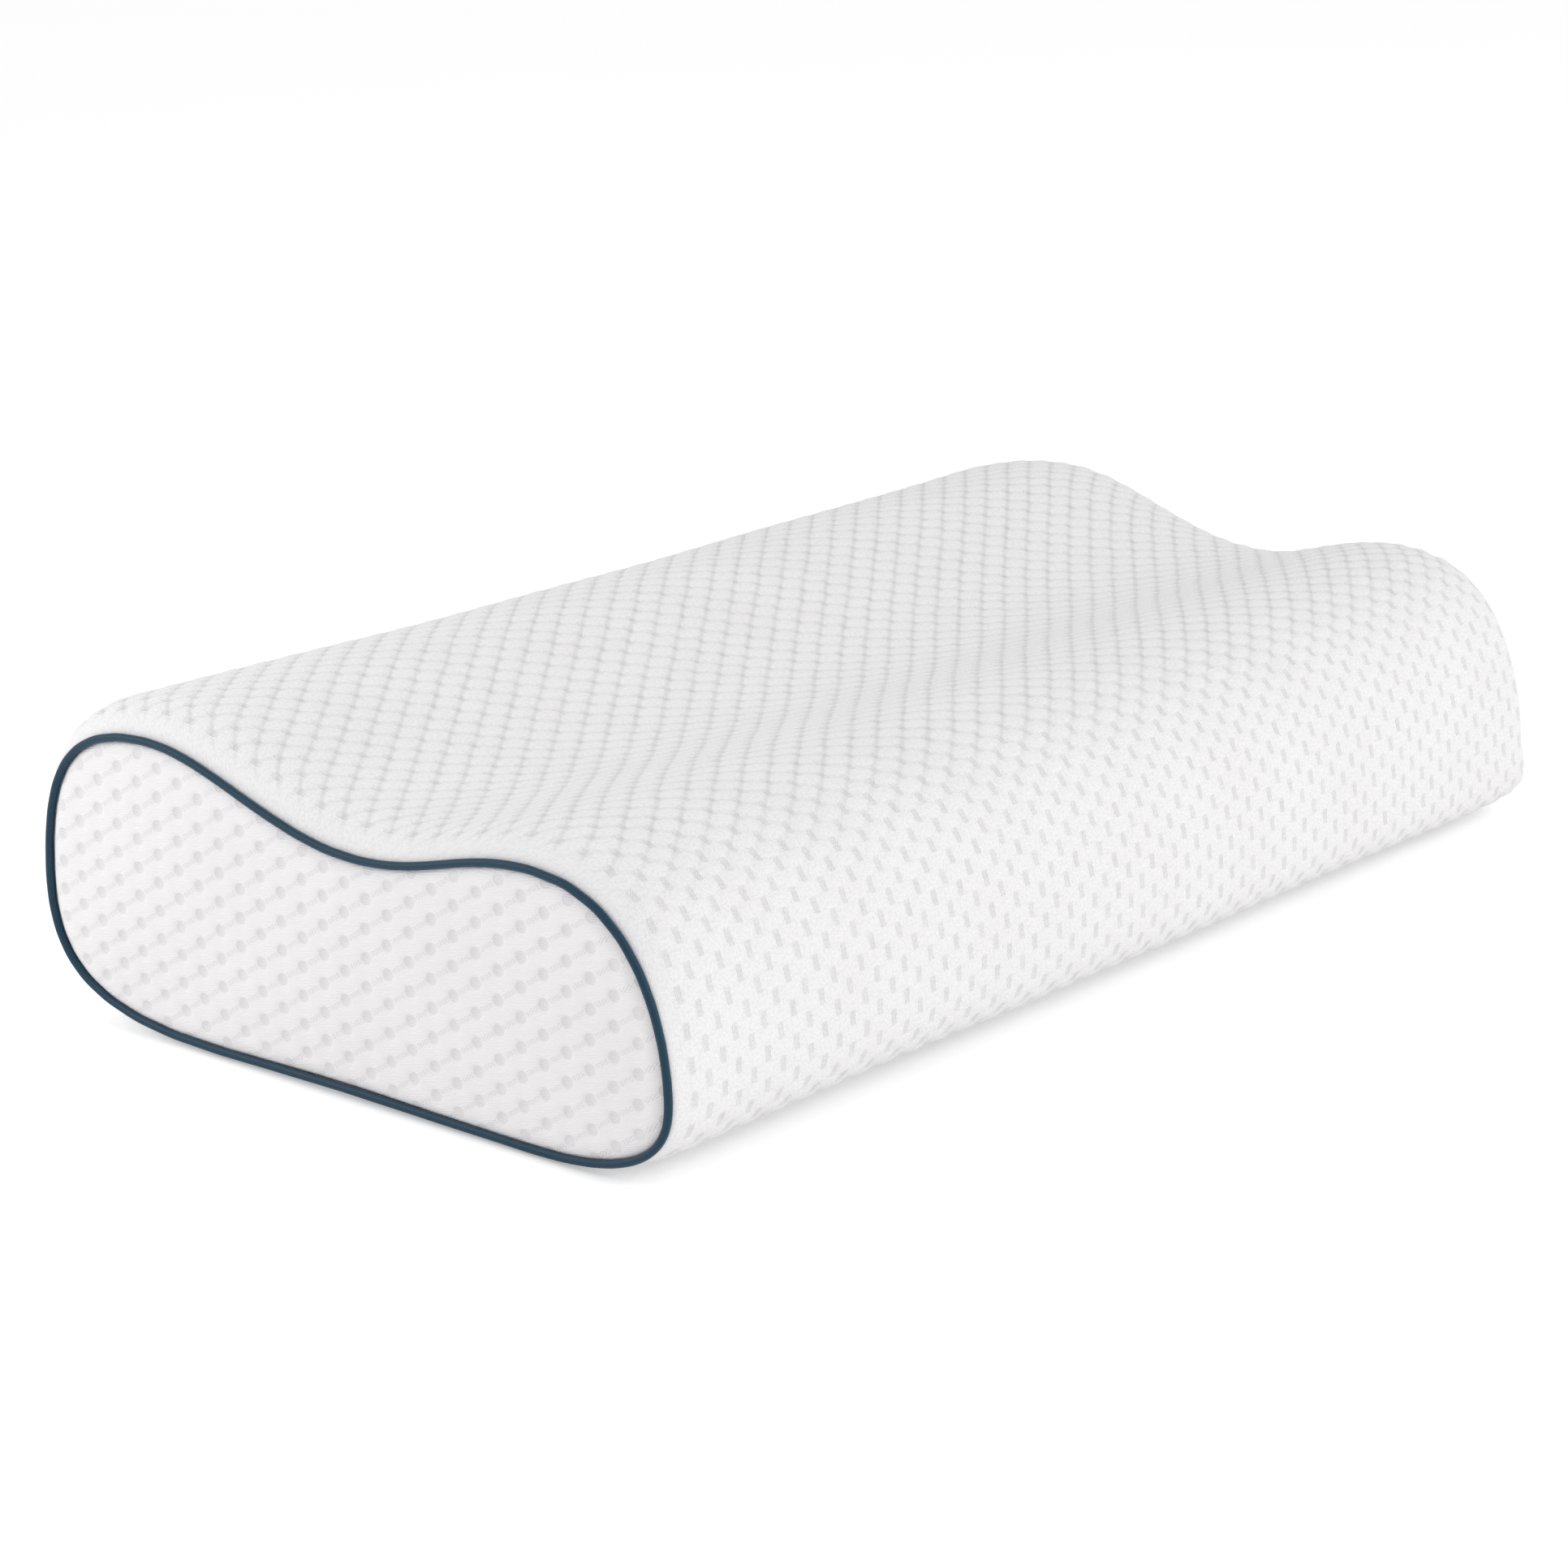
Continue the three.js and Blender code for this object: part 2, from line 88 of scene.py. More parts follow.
# The cover's jacquard knit: columns of short sunk dashes, every other column half a step along.
COLUMN_PITCH = 8 * MM
ROW_PITCH = 12.2 * MM
DASH_HALF_WIDTH = 1.35 * MM
DASH_HALF_LENGTH = 2.9 * MM
PLAIN_EDGE = 3.5 * MM  # beside the piping the knit lies flat
PLAIN_MARGIN = 7 * MM  # and over this much more its relief sets in
MARGIN_FADE = 6 * MM
SLACK_ANGLES = (math.radians(10), math.radians(165))  # over the top, between these, the knit is slack
SLACK_FADE = 50 * MM
DRIFT_ACROSS = 0.9 * MM  # how far the knit wanders from its grid
DRIFT_ALONG = 1.1 * MM
SIDE_BLUR = 0.3 * MM
TIP_BLUR = 0.5 * MM
RIM_OFFSET = 0.25 * MM  # from a dash's side to the raised ridge beside it, whose colour is painted bright as a highlight
SLANT_HALF_WIDTH = 0.16  # of the lines that join the dashes, as a share of their spacing
KNIT_STEPS_PER_COLUMN = 4  # mesh steps from one column of dashes to the next
KNIT_ROW_STEP = 1.52 * MM
LEFT_ROUNDING_STEPS = 14
RIGHT_ROUNDING_STEPS = 32
PUFF_HEIGHT = 0.75 * MM
DASH_DEPTH = 0.25 * MM
PUCKER_HEIGHT = 0.3 * MM
PUCKER_PITCH = 11 * MM
COVER_HEM = [(0.9 * MM, 0.8 * MM), (2.4 * MM, 1.2 * MM), (4.0 * MM, 3.0 * MM)]  # inwards, along X

# The end panels and their mesh knit: oval eyelets in slanting columns.
EYELET_COLUMN = 10.9 * MM
EYELET_PITCH = 11.2 * MM
EYELET_SLANT = 4.0 * MM  # how far each column sits above the one behind it
EYELET_START = (134 * MM, 68.5 * MM)
EYELET_HALF_WIDTH = 2.5 * MM
EYELET_HALF_HEIGHT = 2.2 * MM
EYELET_DEPTH = 0.85 * MM
PANEL_RINGS = 54
PANEL_COUNT = 800
PANEL_BULGE = 1.2 * MM
PANEL_HEM = 2.4 * MM
PANEL_EDGE_INSET = 1.3 * MM  # the panel's edge lies this far inside the piping's middle
PANEL_EDGE_ROUNDING = 7 * MM
PANEL_BULGE_REACH = 34 * MM
PANEL_WAVE = 0.35 * MM

# The piping round each panel.
PIPING_RADIUS = 1.6 * MM
PIPING_CORD_RADIUS = 0.8 * MM
PIPING_X = HALF_LENGTH - PIPING_RADIUS
PIPING_STEPS_ROUND = 14
PIPING_COUNT = 900
SEAM_X = HALF_LENGTH - 3.1 * MM  # where the cover meets the piping

# What the cover holds.
LINER_INSET = 3.1 * MM  # from the cover's outer face to the liner
LINER_END_X = 296.4 * MM
CORE_INSET = 3.9 * MM
CORE_END_X = 295.4 * MM
INNER_STEP = 7 * MM
CLOSING_RINGS = 10

# The zip, and the slot for it in the cover's back.
ZIP_TILT = math.radians(-19.693)  # how far the zip's outward side leans down
SLOT_HALF_LENGTH = 252 * MM
SLOT_HALF_HEIGHT = 4.4 * MM
SLOT_TURNS = (0.5 * MM, 0.9 * MM, 1.0 * MM)  # steps in which the slot's edge turns in
COIL_PITCH = 1.6 * MM
COIL_HALF_HEIGHT = 0.95 * MM
COIL_HALF_DEPTH = 0.7 * MM
COIL_WIRE_RADIUS = 0.32 * MM
STITCH_PITCH = 3.2 * MM
STITCH_HALF_SIZE = (1.25 * MM, 0.28 * MM, 0.32 * MM)
STITCH_SLANT = math.radians(3)
STITCH_DEPTH = 0.02 * MM
STITCHES_FROM_ZIP = 6.4 * MM
TAPE_EASE = 0.12 * MM  # how far the edges of the zip's pieces are eased
STOP_EASE = 0.3 * MM
SLIDER_EASE = 0.25 * MM
PULL_EASE = 0.22 * MM
LABEL_EASE = 0.1 * MM
SHARP_EDGE = math.radians(35)

# The floor, the light and the camera.
SKY_LIGHT = 0.72
FLOOR_SIZE = 60
FLOOR_DROP = 0.3 * MM  # the floor lies this far below the pillow, so that their faces never meet
FLOOR_GLOW = 0.29  # as the camera sees it, fading the floor into the white behind
FLOOR_GLOW_ON_PILLOW = 0.08
CAMERA_PLACE = (-1.3942, -1.1203, 0.5799)
CAMERA_TURNS = (math.radians(73.536), 0, math.radians(-50.393))
CAMERA_LENS = 103.2  # millimetres, as is the sensor
CAMERA_SENSOR = 36
CAMERA_REACH = 100


# ---------------------------------------------------------------- finishes

class Amount:
    """A number that varies over a surface. Sums on it add their Math nodes."""

    def __init__(self, finish, socket):
        self.finish = finish
        self.socket = socket

    def __add__(self, other):
        return self.finish.math("ADD", self, other)

    __radd__ = __add__

    def __sub__(self, other):
        return self.finish.math("SUBTRACT", self, other)

    def __rsub__(self, other):
        return self.finish.math("SUBTRACT", other, self)

    def __mul__(self, other):
        return self.finish.math("MULTIPLY", self, other)

    __rmul__ = __mul__

    def __truediv__(self, other):
        return self.finish.math("DIVIDE", self, other)


class Finish:
    """A material on the standard shader, with the few calls that its patterns need."""

    def __init__(self, name, **constants):
        self.material = bpy.data.materials.new(name)
        self.material.use_nodes = True
        self.nodes = self.material.node_tree.nodes
        self.links = self.material.node_tree.links
        self.shader = self.nodes["Principled BSDF"]
        for socket, value in constants.items():
            self.shader.inputs[socket.replace("_", " ")].default_value = value

    def node(self, kind, settings, values):
        """A new node. Its settings come first, then the values or links of its sockets."""
        node = self.nodes.new(kind)
        for name, value in settings.items():
            setattr(node, name, value)
        for name, value in values.items():
            self.feed(node.inputs[name], value)
        return node

    def feed(self, socket, value):
        if isinstance(value, Amount):
            value = value.socket
        if isinstance(value, bpy.types.NodeSocket):
            self.links.new(value, socket)
        else:
            socket.default_value = value

    def math(self, operation, *values):
        node = self.node("ShaderNodeMath", {"operation": operation}, dict(enumerate(values)))
        return Amount(self, node.outputs[0])

    def fade(self, value, start, end):
        """0 where value is at start, 1 where it is at end, smooth between."""
        settings = {"interpolation_type": "SMOOTHSTEP"}
        values = {"Value": value, "From Min": start, "From Max": end}
        return Amount(self, self.node("ShaderNodeMapRange", settings, values).outputs[0])

    def wave(self, value, pitch):
        """Rises and falls between 0 and 1 once in each pitch."""
        return self.math("SINE", value * (2 * math.pi / pitch)) * 0.5 + 0.5

    def slant(self, across, along, sense):
        """1 on the slanting lines that join the dashes of neighbouring columns, fading beside them."""
        steps = (across / COLUMN_PITCH + along * (2 * sense / ROW_PITCH)) * 0.5
        from_line = self.math("ABSOLUTE", steps - self.math("ROUND", steps))
        return self.fade(from_line, SLANT_HALF_WIDTH, 0.0)

    def place(self):
        """Where a point is on the object."""
        return self.node("ShaderNodeTexCoord", {}, {}).outputs["Object"]

    def cloth(self):
        """Where a point is on the cloth, from the piece's own map."""
        return self.node("ShaderNodeUVMap", {"uv_map": "cloth"}, {}).outputs["UV"]

    def parts(self, vector):
        node = self.node("ShaderNodeSeparateXYZ", {}, {"Vector": vector})
        return [Amount(self, node.outputs[axis]) for axis in "XYZ"]

    def noise(self, vector, scale, detail=2.0):
        values = {"Vector": vector, "Scale": scale, "Detail": detail}
        return Amount(self, self.node("ShaderNodeTexNoise", {}, values).outputs[0])

    def cells(self, vector, scale):
        values = {"Vector": vector, "Scale": scale}
        return Amount(self, self.node("ShaderNodeTexVoronoi", {}, values).outputs["Distance"])

    def mix(self, share, first, second):
        settings = {"data_type": "RGBA"}
        node = self.node("ShaderNodeMix", settings, {0: share, 6: first, 7: second})
        return node.outputs[2]

    def colour(self, socket):
        self.feed(self.shader.inputs["Base Color"], socket)

    def roughness(self, value):
        self.feed(self.shader.inputs["Roughness"], value)

    def relief(self, height):
        """Height in metres, felt through the shader's normal."""
        values = {"Strength": 1.0, "Distance": 1.0, "Height": height}
        bump = self.node("ShaderNodeBump", {}, values)
        self.feed(self.shader.inputs["Normal"], bump.outputs["Normal"])


def srgb(red, green, blue):
    """A colour as it is seen, given in 0 to 255, as the shader wants it."""
    def straight(part):
        part = part / 255
        return part / 12.92 if part <= 0.04045 else ((part + 0.055) / 1.055) ** 2.4
    return (straight(red), straight(green), straight(blue), 1.0)


def dash_places(finish, across, along):
    """How far a point is from its column's middle line, and along it from the nearest dash's middle."""
    columns = across / COLUMN_PITCH
    column = finish.math("ROUND", columns)
    half_column = column * 0.5
    odd_shift = half_column - finish.math("FLOOR", half_column)
    steps = along / ROW_PITCH + odd_shift
    from_column = (columns - column) * COLUMN_PITCH
    from_dash = (steps - finish.math("ROUND", steps)) * ROW_PITCH
    return from_column, from_dash


def slack_share(finish, along, start, end):
    """1 on the slack knit over the top, fading to 0 at both ends of that stretch of cloth."""
    behind = finish.fade(along, start, start + SLACK_FADE)
    in_front = finish.fade(along, end, end - SLACK_FADE)
    return behind * in_front


def jacquard_finish(margin_start, slack_start, slack_end):
    """White air-layer knit with staggered sunk dashes, each with a ribbed floor painted darker as
    shade, and a crisp edge with a raised ridge beside it painted bright as a highlight.
    """
    finish = Finish("jacquard_knit", Sheen_Weight=0.08, Specular_IOR_Level=0.25)
    cloth = finish.cloth()
    even_across, even_along, _ = finish.parts(cloth)
    drift = finish.noise(cloth, 60, 1.0) - 0.5
    across = even_across + drift * DRIFT_ACROSS
    along = even_along + drift * DRIFT_ALONG
    from_column, from_dash = dash_places(finish, across, along)

    # Where the dashes, their raised rims, which are painted bright as highlights, and the plain margins
    # are.
    beside = finish.math("ABSOLUTE", from_column)
    beyond = finish.math("ABSOLUTE", from_dash)
    inside_width = finish.fade(beside, DASH_HALF_WIDTH + SIDE_BLUR, DASH_HALF_WIDTH - SIDE_BLUR)
    inside_length = finish.fade(beyond, DASH_HALF_LENGTH + TIP_BLUR, DASH_HALF_LENGTH - TIP_BLUR)
    from_middle = finish.math("ABSOLUTE", even_across)
    patterned = finish.fade(from_middle, margin_start, margin_start - MARGIN_FADE)
    unevenness = finish.noise(cloth, 110, 1.0)
    dash = inside_width * inside_length * patterned * (unevenness * 0.8 + 0.5)
    from_rim = finish.math("ABSOLUTE", from_column + (DASH_HALF_WIDTH + RIM_OFFSET))
    lit_rim = finish.fade(from_rim, 0.55 * MM, 0.05 * MM) * inside_length * patterned

    # The yarns, and the slanting lines where the slack knit folds between the dashes.
    hatch = finish.wave(from_column + from_dash * 0.75, 1.05 * MM)
    ribs = finish.wave(across + along * 0.12, 0.9 * MM)
    courses = finish.wave(along + finish.noise(cloth, 420, 1.0) * (0.8 * MM), 0.72 * MM)
    fuzz = finish.noise(cloth, 1500, 2.0)
    rising = finish.slant(across, along, 1) * patterned * (unevenness * 1.2 + 0.3)
    falling = finish.slant(across, along, -1) * patterned
    slack = slack_share(finish, along, slack_start, slack_end)
    height = dash * (-0.26 * MM) + lit_rim * (0.22 * MM) + dash * hatch * (0.14 * MM)
    height = height + ribs * (0.03 * MM) + courses * (0.04 * MM) + fuzz * (0.16 * MM)
    height = height - (rising + falling * 0.6) * slack * (0.16 * MM)
    finish.relief(height)

    # From the plain ground up: dash floors painted darker as shade, slanting fold lines painted darker
    # as shade, grain, and rims painted bright as highlights.
    clouding = finish.noise(cloth, 24, 3.0)
    ground = finish.mix(clouding, srgb(240, 238, 239), srgb(246, 245, 246))
    # Painted shade: the dash floors are coloured darker, as their hollows would look, together with the
    # real hatch of their yarns. Over the slack top this is halved.
    shaded = finish.mix(dash * (0.06 + hatch * 0.4) * (1 - slack * 0.5), ground, srgb(202, 200, 202))
    # Painted shade: the slanting fold lines are coloured darker, strongly over the slack top and
    # faintly elsewhere.
    lines = rising * (slack * 0.3 + 0.02) + falling * (slack * 0.14 + 0.02)
    fold_shaded = finish.mix(lines, shaded, srgb(190, 190, 193))
    grain = finish.fade(finish.noise(cloth, 800, 1.0), 0.58, 0.36)
    grained = finish.mix(grain * 0.26, fold_shaded, srgb(214, 213, 215))
    # Painted highlight: the rims are coloured near white.
    finish.colour(finish.mix(lit_rim * 0.8, grained, srgb(254, 254, 254)))
    finish.roughness(0.86 + fuzz * 0.1)
    return finish.material


def eyelet_places(finish, across, up):
    """How far a point is from the nearest eyelet's middle, sideways and upwards."""
    columns = (EYELET_START[0] - across) / EYELET_COLUMN
    column = finish.math("ROUND", columns)
    from_column = (column - columns) * EYELET_COLUMN
    steps = (up - EYELET_START[1] + column * EYELET_SLANT) / EYELET_PITCH
    from_eyelet = (steps - finish.math("ROUND", steps)) * EYELET_PITCH
    return from_column, from_eyelet


def slash_band(finish, across, up):
    """1 on the bands of slashes that run between the eyelets, on the other slant."""
    rise = (EYELET_PITCH - EYELET_SLANT) / EYELET_COLUMN
    lines = ((up - EYELET_START[1]) + (across - EYELET_START[0]) * rise) / EYELET_PITCH
    from_line = finish.math("ABSOLUTE", lines - finish.math("ROUND", lines)) * EYELET_PITCH
    return finish.fade(from_line, 1.5 * MM, 0.8 * MM)


def mesh_knit_finish():
    """Mesh knit: sunk oval eyelets, fine stripes that bend round them, and slashes between."""
    finish = Finish("mesh_knit", Roughness=0.9, Sheen_Weight=0.08, Specular_IOR_Level=0.25)
    cloth = finish.cloth()
    across, up, _ = finish.parts(cloth)
    from_column, from_eyelet = eyelet_places(finish, across, up)
    wide = from_column / EYELET_HALF_WIDTH
    tall = from_eyelet / EYELET_HALF_HEIGHT
    reach = finish.math("SQRT", wide * wide + tall * tall)  # 1 on an eyelet's edge
    eyelet = finish.fade(reach, 1.25, 0.8)
    bend = finish.fade(reach, 2.4, 0.6) * from_eyelet * 0.55
    tilt = across * 0.22
    stripes = finish.wave(up + bend + tilt, 0.95 * MM)
    floor_stripes = finish.wave(up, 0.8 * MM)
    band = slash_band(finish, across, up) * finish.fade(reach, 1.2, 1.5)
    slashes = finish.wave(across + up * 0.55, 1.2 * MM) * band
    fuzz = finish.noise(cloth, 1400, 2.0)
    height = stripes * (0.07 * MM) * (1 - eyelet) + floor_stripes * eyelet * (0.07 * MM)
    height = height - slashes * (0.14 * MM) - eyelet * (0.2 * MM) + fuzz * (0.07 * MM)
    finish.relief(height)

    # From the plain ground up: eyelet floors painted darker as shade, with their own fine stripes, then
    # stripes and slashes.
    clouding = finish.noise(cloth, 20, 3.0)
    ground = finish.mix(clouding, srgb(239, 237, 238), srgb(246, 244, 245))
    # Painted shade: the sunk eyelet floors are coloured darker, together with the real stripes of their
    # yarns.
    floor = finish.mix(eyelet * (0.12 + floor_stripes * 0.34), ground, srgb(196, 193, 196))
    striped = finish.mix(stripes * (1 - eyelet) * 0.16, floor, srgb(222, 219, 221))
    finish.colour(finish.mix(slashes * 0.2, striped, srgb(208, 205, 208)))
    finish.roughness(0.84 + fuzz * 0.12)
    return finish.material


def piping_finish():
    """Dark teal satin over a round cord, with the fine slant of its twill."""
    finish = Finish("piping_satin", Specular_IOR_Level=0.3, Sheen_Weight=0.04, Sheen_Roughness=0.4)
    along, around, _ = finish.parts(finish.cloth())
    twill = finish.wave(along + around * 0.8, 0.42 * MM)
    threads = finish.wave(along * 0.3 - around, 0.9 * MM)
    slubs = finish.noise(finish.cloth(), 300, 3.0)
    finish.relief(twill * (0.02 * MM) + threads * (0.012 * MM) + slubs * (0.06 * MM))
    plain = finish.mix(twill, srgb(6, 34, 52), srgb(16, 60, 82))
    finish.colour(finish.mix(slubs * 0.35, plain, srgb(36, 84, 106)))
    finish.roughness(0.36 + slubs * 0.16)
    return finish.material


def foam_finish():
    """Cream foam with fine pores and a few open holes, which are painted darker as shade."""
    finish = Finish("memory_foam", Roughness=0.95, Specular_IOR_Level=0.2)
    place = finish.place()
    pores = finish.cells(place, 900)
    holes = finish.fade(finish.cells(place, 260), 0.16, 0.05)
    finish.relief(pores * (0.25 * MM) - holes * (0.5 * MM))
    skin = finish.mix(finish.noise(place, 40), srgb(240, 232, 210), srgb(248, 243, 226))
    # Painted shade: the sunk holes are coloured a darker cream.
    finish.colour(finish.mix(holes * 0.6, skin, srgb(205, 192, 160)))
    return finish.material


def liner_finish():
    """Thin plain knit."""
    finish = Finish("liner_cloth", Roughness=0.8, Sheen_Weight=0.1)
    place = finish.place()
    x, y, z = finish.parts(place)
    wales = finish.wave(x, 0.8 * MM)
    courses = finish.wave(y + z, 0.8 * MM)
    finish.relief((wales * courses) * (0.06 * MM))
    clouding = finish.noise(place, 30)
    weave = finish.mix(clouding, srgb(226, 228, 230), srgb(240, 241, 242))
    finish.colour(finish.mix(wales * courses * 0.4, weave, srgb(250, 250, 250)))
    return finish.material


def tape_finish():
    """Woven zip tape: a herringbone of fine ribs."""
    finish = Finish("zip_tape", Roughness=0.8, Sheen_Weight=0.1)
    place = finish.place()
    x, _, z = finish.parts(place)
    zigzag = finish.math("PINGPONG", z, 1.2 * MM)
    ribs = finish.wave(x + zigzag * 0.9, 0.62 * MM)
    fuzz = finish.noise(place, 1200)
    finish.relief(ribs * (0.09 * MM) + fuzz * (0.04 * MM))
    cloth = finish.mix(ribs, srgb(222, 222, 224), srgb(242, 242, 243))
    finish.colour(finish.mix(fuzz * 0.2, cloth, srgb(200, 200, 204)))
    return finish.material


def coil_finish():
    """Smooth nylon with faint streaks."""
    finish = Finish("zip_coil", Roughness=0.38, Coat_Weight=0.15)
    place = finish.place()
    streaks = finish.noise(place, 700)
    finish.relief(streaks * (0.02 * MM))
    finish.colour(finish.mix(streaks, srgb(228, 229, 231), srgb(243, 244, 245)))
    return finish.material


def nickel_finish():
    """Brushed metal, duller where it is worn."""
    finish = Finish("zip_metal", Roughness=0.3, Metallic=1.0)
    place = finish.place()
    x, _, z = finish.parts(place)
    brushed = finish.wave(x * 0.3 + z + finish.noise(place, 500) * (1.2 * MM), 0.35 * MM)
    wear = finish.fade(finish.noise(place, 220, 4.0), 0.5, 0.68)
    finish.relief(brushed * (0.006 * MM) + wear * (0.01 * MM))
    finish.colour(finish.mix(wear * 0.6, srgb(196, 198, 201), srgb(158, 158, 160)))
    finish.roughness(0.24 + brushed * 0.1 + wear * 0.18)
    return finish.material


def cord_finish():
    """Twisted cotton."""
    finish = Finish("filler_cord", Roughness=0.9)
    along, around, _ = finish.parts(finish.cloth())
    strands = finish.wave(along + around * 1.6, 1.4 * MM)
    finish.relief(strands * (0.12 * MM))
    finish.colour(finish.mix(strands, srgb(206, 204, 198), srgb(240, 239, 234)))
    return finish.material


def label_finish():
    """Blank white satin."""
    finish = Finish("label_satin", Roughness=0.45, Sheen_Weight=0.2)
    place = finish.place()
    z = finish.parts(place)[2]
    satin = finish.wave(z, 0.3 * MM)
    slubs = finish.noise(place, 500)
    finish.relief(satin * (0.015 * MM) + slubs * (0.03 * MM))
    finish.colour(finish.mix(satin * 0.5 + slubs * 0.3, srgb(228, 229, 232), srgb(247, 247, 248)))
    return finish.material


# ---------------------------------------------------------------- the cushion's form

def node_tree(name):
    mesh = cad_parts[name].data
    points = [vertex.co for vertex in mesh.vertices]
    faces = [tuple(polygon.vertices) for polygon in mesh.polygons]
    return BVHTree.FromPolygons(points, faces)


def ray_angles():
    """From straight down, round by the back, over the top and down the front."""
    return -math.pi / 2 + 2 * math.pi * np.arange(RAY_COUNT) / RAY_COUNT


def radii_of(name, x):
    """How far the node's outside is from the middle line at x, in each direction."""
    tree = node_tree(name)
    middle = Vector((x, 0, MIDDLE_HEIGHT))
    reach = 0.4
    radii = []
    for angle in ray_angles():
        outwards = Vector((0, math.cos(angle), math.sin(angle)))
        _, _, _, distance = tree.ray_cast(middle + outwards * reach, -outwards)
        radii.append(math.nan if distance is None else reach - distance)
    radii = np.array(radii)
    hit = np.isfinite(radii)
    return np.interp(ray_angles(), ray_angles()[hit], radii[hit], period=2 * math.pi)


def ring_of(angles, radii):
    return np.stack([radii * np.cos(angles), MIDDLE_HEIGHT + radii * np.sin(angles)], axis=-1)


def evened(ring, count):
    """The closed ring (y, z) with its points at equal steps along it, and the ring's length."""
    closed = np.vstack([ring, ring[:1]])
    lengths = np.concatenate([[0], np.cumsum(np.hypot(*np.diff(closed, axis=0).T))])
    stations = lengths[-1] * np.arange(count) / count
    even = [np.interp(stations, lengths, closed[:, axis]) for axis in (0, 1)]
    return np.stack(even, axis=-1), lengths[-1]


def softened(ring, length, softness):
    """The closed ring with its corners rounded by a bell of that width."""
    count = len(ring)
    steps = np.fft.fftfreq(count, length / count)
    bell = np.exp(-2 * (math.pi * steps * softness) ** 2)
    return np.fft.ifft(np.fft.fft(ring, axis=0) * bell[:, None], axis=0).real


def smooth_ring(name, x, inset=0.0):
    ring = ring_of(ray_angles(), radii_of(name, x) - inset)
    even, length = evened(ring, RAY_COUNT)
    return softened(even, length, SECTION_SOFTNESS)


FULL_RING = smooth_ring("cover_wrap", FULL_SECTION_X)
FULL_LENGTH = evened(FULL_RING, RAY_COUNT)[1]
END_RING = smooth_ring("piping_left", -PIPING_X, PIPING_RADIUS)


def angles_of(ring):
    angles = np.arctan2(ring[:, 1] - MIDDLE_HEIGHT, ring[:, 0])
    return np.where(angles < -math.pi / 2, angles + 2 * math.pi, angles)


def radii_at(ring, angles):
    own = angles_of(ring)
    order = np.argsort(own)
    radii = np.hypot(ring[:, 0], ring[:, 1] - MIDDLE_HEIGHT)
    return np.interp(angles, own[order], radii[order], period=2 * math.pi)


def smooth_step(value, start, end):
    share = np.clip((value - start) / (end - start), 0, 1)
    return share * share * (3 - 2 * share)


def tapered(x, y, z, facing_front):
    """Y of points whose front side is drawn in towards the right end."""
    share = ((x + HALF_LENGTH) / (2 * HALF_LENGTH)) ** 2
    return y + RIGHT_TAPER * share * facing_front * smooth_step(z, 0, TAPER_FULL_HEIGHT)


def rounded_share(x):
    """1 along the pillow, falling on a quarter round to 0 at each seam."""
    left = np.clip((x + SEAM_X) / LEFT_ROUNDING, 0, 1)
    right = np.clip((SEAM_X - x) / RIGHT_ROUNDING, 0, 1)
    return np.sqrt(1 - (1 - left) ** 2) * np.sqrt(1 - (1 - right) ** 2)


def facing_front_of(angles):
    return np.clip(-np.cos(angles), 0, 1) ** 3


def end_radii(x, angles):
    """How far the end's outline is from the middle line. Close to the right seam it turns in."""
    radii = radii_at(END_RING, angles)
    turned_in = np.clip(1 - (SEAM_X - x) / RIGHT_CORNER, 0, 1)
    return radii - RIGHT_CORNER * (1 - np.sqrt(1 - turned_in**2))


def end_places(radii, angles):
    """(y, z) of the end's outline, fuller at the back."""
    y = radii * np.cos(angles) + BACK_FULLNESS * smooth_step(np.cos(angles), 0.45, 0.95)
    return y, MIDDLE_HEIGHT + radii * np.sin(angles)


def cushion_points(xs, angles):
    """Points [column, row] of the cushion's surface, for places along it and directions round it."""
    full = radii_at(FULL_RING, angles)
    end = end_radii(xs[:, None], angles[None, :])
    x = xs[:, None] + 0 * angles[None, :]
    full_y = full * np.cos(angles) + 0 * x
    full_z = MIDDLE_HEIGHT + full * np.sin(angles) + 0 * x
    lift = END_LIFT * (x / HALF_LENGTH) ** 2
    full_z = full_z + lift * smooth_step(full_z, LIFT_START_HEIGHT, LIFT_FULL_HEIGHT)
    end_y, end_z = end_places(end, angles)
    share = rounded_share(x)
    y = end_y + (full_y - end_y) * share
    z = end_z + (full_z - end_z) * share
    y = tapered(x, y, z, facing_front_of(angles)[None, :])
    return np.stack([x, y, z], axis=-1)


def outward_normals(points):
    """Normals of a surface that is closed round its rows."""
    along = np.gradient(points, axis=0)
    around = np.roll(points, -1, axis=1) - np.roll(points, 1, axis=1)
    normals = np.cross(around, along)
    return normals / np.maximum(np.linalg.norm(normals, axis=-1, keepdims=True), 1e-12)


def row_angles(count):
    """Directions whose places on the whole section are equally far apart."""
    ring, _ = evened(FULL_RING, count)
    return np.sort(angles_of(ring))


def grid_mesh(name, points, cloth_map, bake_map):
    """A mesh of quads from points [column, row], joined round its rows, with its two maps."""
    columns, rows = points.shape[:2]
    index = np.arange(columns * rows).reshape(columns, rows)
    following = np.roll(index, -1, axis=1)
    quads = np.stack([index[:-1], following[:-1], following[1:], index[1:]], axis=-1).reshape(-1, 4)
    mesh = bpy.data.meshes.new(name)
    mesh.from_pydata(points.reshape(-1, 3).tolist(), [], quads.tolist())
    add_map(mesh, "cloth", cloth_map)
    add_map(mesh, "OFBake", bake_map)
    return mesh


